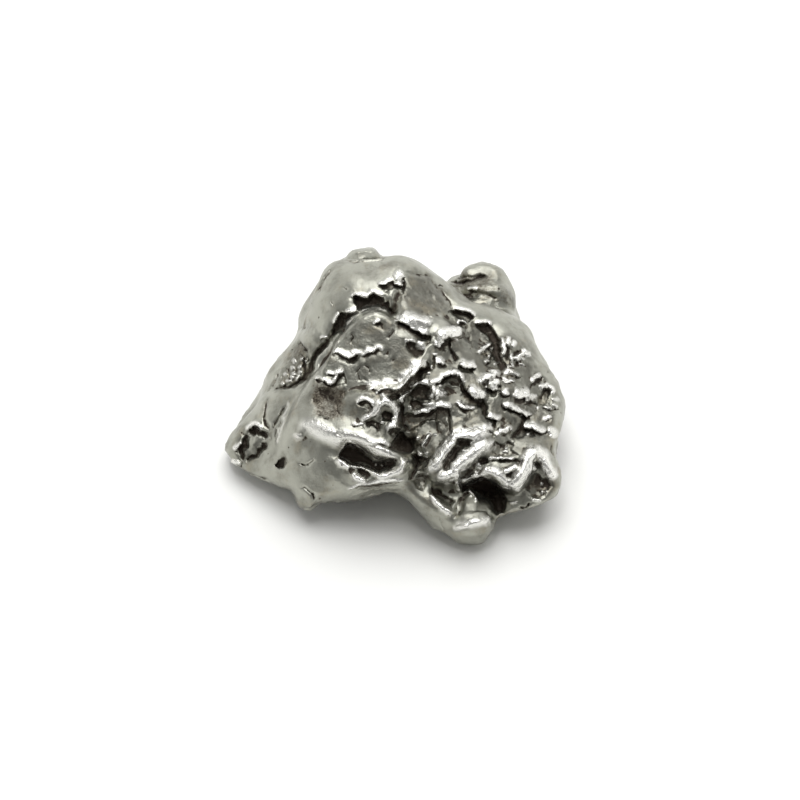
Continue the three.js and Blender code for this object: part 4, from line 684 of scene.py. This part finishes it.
def sculpt(mesh):
    points = readMesh(mesh)[0]
    pairs = np.empty(len(mesh.edges) * 2, int)
    mesh.edges.foreach_get("vertices", pairs)
    pairs = pairs.reshape(-1, 2)
    resting = points[:, 2] < lump["floor"]
    place = toFace(points)
    softer = blurred(points, pairs, lump["softening"])
    for ru, rv, radius in rounds:
        share = step(0.0, 0.7, 1 - np.hypot(place[:, 0] - ru, place[:, 1] - rv) / radius)
        points = points + share[:, None] * (softer - points)
    points[resting, 2] = 0.0
    writeMesh(mesh, points)
    points, normals = readMesh(mesh)
    size, amount = lump["warp"]
    wander = np.array([(noise.noise_vector(Vector(p) / size) + 0.6 * noise.noise_vector(Vector(p) * 2.5 / size))[:]
                       for p in points])
    place = toFace(points + wander * amount)
    u, v = place[:, 0], place[:, 1]
    facing = normals @ faceAxis
    shown = step(-0.05, 0.22, facing)

    # broad faces, then strokes and swells, pushed along the face's axis so that they stay where they are placed
    broad = np.zeros(len(points))
    level = np.zeros(len(points))
    unwarped = toFace(points)
    sheet = np.concatenate([unwarped[:, :2], np.ones((len(points), 1))], axis=1)
    for flatness, lean, edge, loop in flats:
        share = loopShare(u, v, loop, edge)
        inside = (share > 0.5) & (facing > 0.3)
        plane = np.linalg.lstsq(sheet[inside], unwarped[inside, 2], rcond=None)[0]
        print("flat leans", plane[:2].round(2))
        middle = sheet[inside].mean(axis=0)
        gap = middle @ plane + (sheet - middle) @ (plane * lean) - unwarped[:, 2]
        level = np.maximum(level, flatness * share)
        broad += flatness * share * gap * (1 - step(*lump["flatReach"], np.abs(gap)))
    rise, heldOxideAndShade, rubbedAndHighlit, ruffle = strokesAt(u, v)
    for su, sv, radius, height in swells:
        rise += height * step(0.0, 1.0, 1 - np.hypot(u - su, v - sv) / radius)
    stainedAndShaded = np.zeros(len(points))
    for amount, loop in stainsAndShade:
        stainedAndShaded = np.maximum(stainedAndShaded, amount * loopShare(u, v, loop, 1.0) * (1 - rubbedAndHighlit))
    grainy = np.maximum(heldOxideAndShade, 0.4 * stainedAndShaded)
    heldOxideAndShade = np.maximum(heldOxideAndShade, stainedAndShaded)
    push = normals + (faceAxis - normals) * step(0.2, 0.6, facing)[:, None]
    points = points + push * (rise * shown)[:, None] + faceAxis * (broad * shown)[:, None]
    for pu, pv, radius, right, up in pulls:
        share = step(0.0, 1.0, 1 - np.hypot(unwarped[:, 0] - pu, unwarped[:, 1] - pv) / radius)[:, None]
        points = points + share * np.array([right, up * math.sin(tilt), up * math.cos(tilt)])
    points[:, 2] = np.maximum(points[:, 2], 0.0)
    points[resting, 2] = 0.0
    writeMesh(mesh, points)
    print("strokes done")

    # then what covers all sides
    rough = np.zeros(len(points))
    for share, loop in roughPlaces:
        rough = np.maximum(rough, share * loopShare(u, v, loop, 1.0))
    patches = np.array([noise.noise(Vector(p) / lump["patches"] + Vector((3.1, 8.2, 1.7))) for p in points])
    patches = step(-0.12, 0.22, patches)
    away = step(-0.05, -0.5, facing)  # the outline seen from the camera stays smooth
    broken = away * (0.25 + 0.75 * patches) * step(*lump["floorFade"], points[:, 2])
    turned = step(0.3, -0.05, facing) * (0.2 + 0.8 * patches)
    tarnish = np.maximum(rough, 0.6 * level) * shown + broken  # broad faces get the duller, darker colour too
    rough = lump["faceShare"] * rough * shown + broken
    points, normals = readMesh(mesh)
    size, amount = lump["waves"]
    rise = amount * np.array([noise.noise(Vector(p) / size) for p in points])
    size, amount = lump["dents"]
    rise += amount * np.array([noise.noise(Vector(p) / size) for p in points])
    rise *= 1 - 0.7 * level * shown
    size, amount = lump["thumbs"]
    cells = np.array([noise.voronoi(Vector(p) / size)[0][:2] for p in points + 0.3 * wander])
    cups = step(0.0, 0.6, cells[:, 1] - cells[:, 0])
    rise -= amount * away * step(*lump["floorFade"], points[:, 2]) * (cups - 0.5)
    size, amount = lump["folds"]
    fold = np.array([noise.noise(Vector(p) / size + Vector((7.0, 2.0, 4.0)))
                     + 0.4 * noise.noise(Vector(p) * 2.3 / size) for p in points])
    fold = 1 - 2.6 * np.abs(fold)
    rise += amount * broken * fold
    heldOxideAndShade = np.maximum(heldOxideAndShade * shown, 0.8 * np.maximum(broken, 0.65 * turned) * step(0.25, -0.35, fold))
    # fold crests on the other sides get the pale colour too: painted highlight, partly rubbed metal
    rubbedAndHighlit = np.maximum(rubbedAndHighlit * shown, 0.7 * broken * step(0.55, 0.95, fold))
    size, amount = lump["dimples"]
    cells = np.array([noise.voronoi(Vector(p) / size)[0][:2] for p in points + 0.5 * wander])
    cups = step(0.0, 0.55, cells[:, 1] - cells[:, 0])
    rise -= amount * rough * (cups - 0.5)
    size, amount = lump["grit"]
    fine = np.array([noise.noise(Vector(p) / size) for p in points])
    rise += amount * rough * (1 - 2 * np.abs(fine))
    size, amount = lump["grain"]
    rise += amount * (0.3 + rough + grainy) * np.array([noise.noise(Vector(p) / size) for p in points])
    size, amount = lump["pitGrain"]
    rise += amount * grainy * shown * np.array([noise.noise(Vector(p) / size) for p in points])
    size, amount = lump["crumple"]
    rise += amount * ruffle * np.array([noise.noise(Vector(p) / size + Vector((5.0, 1.0, 2.0))) for p in points])
    rise[resting] = 0.0
    points = points + normals * rise[:, None]
    points[:, 2] = np.maximum(points[:, 2], 0.0)
    writeMesh(mesh, points)
    print("skin roughened")
    relax(mesh, facing)

    # how far each place lies below its surroundings, near and wide: what grime and wear go by
    points, normals = readMesh(mesh)
    near = ((blurred(points, pairs, lump["nearPasses"]) - points) * normals).sum(axis=1)
    wide = ((blurred(points, pairs, lump["widePasses"]) - points) * normals).sum(axis=1)
    near *= 0.35 + 0.65 * shown  # the other sides are cut more coarsely, so these measures reach further there
    wide *= 0.55 + 0.45 * shown
    marks = {"near": near, "wide": wide, "tarnish": tarnish, "heldOxideAndShade": heldOxideAndShade, "rubbedAndHighlit": rubbedAndHighlit,
             "crust": np.maximum(away, 0.6 * turned)}
    for name, values in marks.items():
        mesh.attributes.new(name, "FLOAT", "POINT").data.foreach_set("value", values.astype(np.float32))
    print("hollows measured:", np.percentile(near, [1, 50, 99]).round(3), np.percentile(wide, [1, 50, 99]).round(3))


# Nickel-iron, tumbled and brushed bright by hand: warm grey metal with a soft mirror and a painted pale highlight
# on what stands up, brown-black oxide left in every hollow, and painted shade under lips and in the upper walls of
# pits.
ironLook = {
    "metal": "#a6a69c",
    "dull": "#6e6d65",
    "brightAndHighlight": "#ecebe6",
    "warm": "#938c7a",
    "stain": "#6b6252",
    "brown": "#4e4333",
    "oxideAndShade": "#332b22",
    "roughness": (0.28, 0.40),
    "rubbedRoughness": 0.22,
    "oxideRoughness": 0.6,
    "grain": 0.16,   # mm; finer in truth, but less would not show
    "cloud": 1.6,    # mm
    "patina": 1.7,   # mm
    "scale": 0.7,    # mm, of the fine crust on the sides that are less rubbed
    "nicks": 1.1,    # mm from one small nick to the next
}


def makeIron():
    material = bpy.data.materials.new("worn_nickel_iron")
    material.use_nodes = True
    tree = material.node_tree
    tree.nodes.clear()
    output = addNode(tree, "ShaderNodeOutputMaterial")
    spot = addNode(tree, "ShaderNodeTexCoord").outputs["Object"]
    marks = {}
    for name in ("near", "wide", "tarnish", "heldOxideAndShade", "rubbedAndHighlit", "crust"):
        marks[name] = addNode(tree, "ShaderNodeAttribute", {"attribute_name": name}).outputs["Fac"]
    cloud = addNode(tree, "ShaderNodeTexNoise", {"noise_dimensions": "3D"}, Vector=spot,
                    Scale=1 / (ironLook["cloud"] * mm), Detail=6.0, Roughness=0.62).outputs["Fac"]
    grain = addNode(tree, "ShaderNodeTexNoise", {"noise_dimensions": "3D"}, Vector=spot,
                    Scale=1 / (ironLook["grain"] * mm), Detail=3.0, Roughness=0.6).outputs["Fac"]

    # oxide, and painted shade under lips and in the upper walls of pits: where the strokes leave it, deep places
    # all over, and the small nicks that polishing missed
    deep = addNode(tree, "ShaderNodeMapRange", {"interpolation_type": "SMOOTHSTEP"}, Value=marks["wide"],
                   From_Min=0.14, From_Max=0.42).outputs["Result"]
    nick = addNode(tree, "ShaderNodeMapRange", {"interpolation_type": "SMOOTHSTEP"}, Value=marks["near"],
                   From_Min=0.015, From_Max=0.06).outputs["Result"]
    low = addNode(tree, "ShaderNodeMath", {"operation": "MAXIMUM"}, i0=deep, i1=nick).outputs["Value"]
    held = addNode(tree, "ShaderNodeMath", {"operation": "MAXIMUM"}, i0=low, i1=marks["heldOxideAndShade"]).outputs["Value"]
    ragged = addNode(tree, "ShaderNodeMath", {"operation": "MULTIPLY_ADD"}, i0=cloud, i1=0.8,
                     i2=-0.4).outputs["Value"]
    mixed = addNode(tree, "ShaderNodeMath", {"operation": "ADD"}, i0=held, i1=ragged).outputs["Value"]
    kept = addNode(tree, "ShaderNodeMath", {"operation": "MULTIPLY_ADD"}, i0=marks["rubbedAndHighlit"], i1=-0.6,
                   i2=mixed).outputs["Value"]
    dots = addNode(tree, "ShaderNodeTexVoronoi", {"feature": "F1"}, Vector=spot,
                   Scale=1 / (ironLook["nicks"] * mm)).outputs["Distance"]
    uneven = addNode(tree, "ShaderNodeMath", {"operation": "MULTIPLY_ADD"}, i0=cloud, i1=0.3,
                     i2=dots).outputs["Value"]
    nicked = addNode(tree, "ShaderNodeMapRange", {"interpolation_type": "SMOOTHSTEP"}, Value=uneven,
                     From_Min=0.18, From_Max=0.25, To_Min=0.85, To_Max=0.0).outputs["Result"]
    marked = addNode(tree, "ShaderNodeMath", {"operation": "MAXIMUM"}, i0=kept, i1=nicked).outputs["Value"]
    speckled = addNode(tree, "ShaderNodeMath", {"operation": "MULTIPLY_ADD"}, i0=grain, i1=-0.9,
                       i2=marked).outputs["Value"]
    oxideAndShade = addNode(tree, "ShaderNodeMapRange", {"interpolation_type": "SMOOTHSTEP"}, Value=speckled,
                    From_Min=-0.12, From_Max=0.5).outputs["Result"]

    # metal between clean and dull, pale where hands rub it and where a highlight is painted in, brown where it
    # thins out at the edge of the oxide
    shaded = addNode(tree, "ShaderNodeMath", {"operation": "MULTIPLY_ADD"}, i0=marks["tarnish"], i1=0.3,
                     i2=cloud).outputs["Value"]
    dullness = addNode(tree, "ShaderNodeMapRange", {"interpolation_type": "SMOOTHSTEP"}, Value=shaded,
                       From_Min=0.40, From_Max=0.85).outputs["Result"]
    grey = addNode(tree, "ShaderNodeMix", {"data_type": "RGBA"}, i0=dullness,
                   i6=hexColor(ironLook["metal"]), i7=hexColor(ironLook["dull"])).outputs[2]
    patina = addNode(tree, "ShaderNodeTexNoise", {"noise_dimensions": "3D"}, Vector=spot,
                     Scale=1 / (ironLook["patina"] * mm), Detail=5.0, Roughness=0.7).outputs["Fac"]
    warmth = addNode(tree, "ShaderNodeMapRange", {"interpolation_type": "SMOOTHSTEP"}, Value=patina,
                     From_Min=0.5, From_Max=0.72, To_Max=0.55).outputs["Result"]
    clean = addNode(tree, "ShaderNodeMix", {"data_type": "RGBA"}, i0=warmth, i6=grey,
                    i7=hexColor(ironLook["warm"])).outputs[2]
    wornAndHighlit = addNode(tree, "ShaderNodeMix", {"data_type": "RGBA"}, i0=marks["rubbedAndHighlit"], i6=clean,
                   i7=hexColor(ironLook["brightAndHighlight"])).outputs[2]
    ramp = addNode(tree, "ShaderNodeValToRGB", Fac=oxideAndShade)
    ramp.color_ramp.elements.new(0.6)
    for stop, (position, name) in zip(ramp.color_ramp.elements, ((0.2, "stain"), (0.6, "brown"), (0.95, "oxideAndShade"))):
        stop.position = position
        stop.color = hexColor(ironLook[name])
    colour = addNode(tree, "ShaderNodeMix", {"data_type": "RGBA"}, i0=oxideAndShade, i6=wornAndHighlit,
                     i7=ramp.outputs["Color"]).outputs[2]
    polish = addNode(tree, "ShaderNodeMapRange", Value=cloud, From_Min=0.3, From_Max=0.7,
                     To_Min=ironLook["roughness"][0], To_Max=ironLook["roughness"][1]).outputs["Result"]
    rubbed = addNode(tree, "ShaderNodeMix", {"data_type": "FLOAT"}, i0=marks["rubbedAndHighlit"], i2=polish,
                     i3=ironLook["rubbedRoughness"]).outputs[0]
    roughness = addNode(tree, "ShaderNodeMix", {"data_type": "FLOAT"}, i0=oxideAndShade, i2=rubbed,
                        i3=ironLook["oxideRoughness"]).outputs[0]
    metallic = addNode(tree, "ShaderNodeMapRange", Value=oxideAndShade, To_Min=1.0, To_Max=0.55).outputs["Result"]

    # scaly crust on the sides that are less rubbed
    crust = addNode(tree, "ShaderNodeTexNoise", {"noise_dimensions": "3D"}, Vector=spot,
                    Scale=1 / (ironLook["scale"] * mm), Detail=4.0, Roughness=0.6).outputs["Fac"]
    scaly = addNode(tree, "ShaderNodeMath", {"operation": "MULTIPLY"}, i0=crust, i1=marks["crust"]).outputs["Value"]
    scaled = addNode(tree, "ShaderNodeBump", Strength=0.6, Distance=0.14 * mm, Height=scaly).outputs["Normal"]
    # the grain is strongest on what is rubbed bright and painted with a highlight, and sparkles there
    gain = addNode(tree, "ShaderNodeMath", {"operation": "MULTIPLY_ADD"}, i0=marks["rubbedAndHighlit"], i1=1.6,
                   i2=1.0).outputs["Value"]
    sparkle = addNode(tree, "ShaderNodeMath", {"operation": "MULTIPLY"}, i0=grain, i1=gain).outputs["Value"]
    bump = addNode(tree, "ShaderNodeBump", Strength=0.8, Distance=0.03 * mm, Height=sparkle,
                   Normal=scaled).outputs["Normal"]
    shader = addNode(tree, "ShaderNodeBsdfPrincipled", Base_Color=colour, Metallic=metallic, Roughness=roughness,
                     Normal=bump)
    tree.links.new(shader.outputs["BSDF"], output.inputs["Surface"])
    return material


skin = makeLump()
sculpt(skin)
for polygon in skin.polygons:
    polygon.use_smooth = True
meteorite = bpy.data.objects.new("meteorite_skin", skin)
bpy.context.scene.collection.objects.link(meteorite)
skin.materials.append(makeIron())
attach(meteorite, "root")
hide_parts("meteorite")
print("meteorite placed")

# A pale matt floor, wide enough to fill every view.
floorLook = {"half": 1.5, "colour": "#f3f3f1", "roughness": 0.7}


def makeFloor():
    bm = bmesh.new()
    bmesh.ops.create_grid(bm, x_segments=1, y_segments=1, size=floorLook["half"])
    mesh = bpy.data.meshes.new("floor")
    bm.to_mesh(mesh)
    bm.free()
    material = bpy.data.materials.new("matt_white_board")
    material.use_nodes = True
    shader = material.node_tree.nodes["Principled BSDF"]
    shader.inputs["Base Color"].default_value = hexColor(floorLook["colour"])
    shader.inputs["Roughness"].default_value = floorLook["roughness"]
    mesh.materials.append(material)
    floor = bpy.data.objects.new("floor", mesh)
    bpy.context.scene.collection.objects.link(floor)


# Studio: a grey room that is brightest low down behind the object, and soft boxes.
studio = {
    # how high the direction looks, and how bright it is there
    "behind": [(0.0, 1.0), (0.30, 0.85), (0.50, 0.36), (0.80, 0.28), (1.0, 0.45)],
    "before": [(0.0, 0.22), (0.35, 0.20), (0.50, 0.20), (0.80, 0.20), (1.0, 0.45)],
    "strength": 1.38,
    # name: direction (azimuth from the camera, elevation), distance, size and power
    "boxes": {
        "key": ((175, 66), 0.5, 0.55, 2.6),
        "spark": ((-25, 78), 0.45, 0.08, 0.18),
    },
}


def makeStudio():
    world = bpy.data.worlds.new("studio")
    bpy.context.scene.world = world
    world.use_nodes = True
    tree = world.node_tree
    tree.nodes.clear()
    output = addNode(tree, "ShaderNodeOutputWorld")
    direction = addNode(tree, "ShaderNodeTexCoord").outputs["Generated"]
    parts = addNode(tree, "ShaderNodeSeparateXYZ", Vector=direction).outputs
    ramps = []
    for name in ("before", "behind"):
        ramp = addNode(tree, "ShaderNodeValToRGB", Fac=parts["Z"])
        stops = ramp.color_ramp.elements
        while len(stops) < len(studio[name]):
            stops.new(0.5)
        for stop, (height, level) in zip(stops, studio[name]):
            stop.position = height
            stop.color = (level, level, level * 0.985, 1.0)
        ramps.append(ramp.outputs["Color"])
    turn = addNode(tree, "ShaderNodeMapRange", {"interpolation_type": "SMOOTHSTEP"}, Value=parts["Y"],
                   From_Min=-0.75, From_Max=-0.05).outputs["Result"]
    sky = addNode(tree, "ShaderNodeMix", {"data_type": "RGBA"}, i0=turn, i6=ramps[0], i7=ramps[1]).outputs[2]
    glow = addNode(tree, "ShaderNodeBackground", Color=sky, Strength=studio["strength"])
    tree.links.new(glow.outputs["Background"], output.inputs["Surface"])
    for name, ((azimuth, elevation), distance, size, power) in studio["boxes"].items():
        light = bpy.data.lights.new(name, "AREA")
        light.shape = "SQUARE"
        light.size = size
        light.energy = power
        box = bpy.data.objects.new(name, light)
        a, e = math.radians(azimuth), math.radians(elevation)
        box.location = Vector((math.sin(a) * math.cos(e), -math.cos(a) * math.cos(e), math.sin(e))) * distance
        box.rotation_euler = (-box.location).to_track_quat("-Z", "Y").to_euler()
        bpy.context.scene.collection.objects.link(box)


# The camera looks square on to the face from far off, with a frame 64 mm wide at the object.
shot = {"distance": 0.9, "frame": 64.0, "aim": (0.0, 0.0, 10.0)}


def makeCamera():
    data = bpy.data.cameras.new("camera")
    data.sensor_width = 36.0
    data.lens = 36.0 * shot["distance"] / (shot["frame"] * mm)
    data.clip_end = 10.0
    camera = bpy.data.objects.new("camera", data)
    target = fromFace(*shot["aim"])
    camera.location = target + Vector(faceAxis) * shot["distance"]
    camera.rotation_euler = (target - camera.location).to_track_quat("-Z", "Y").to_euler()
    bpy.context.scene.collection.objects.link(camera)
    bpy.context.scene.camera = camera


makeFloor()
makeStudio()
makeCamera()
bpy.context.scene.view_settings.view_transform = "Standard"
print("studio ready")
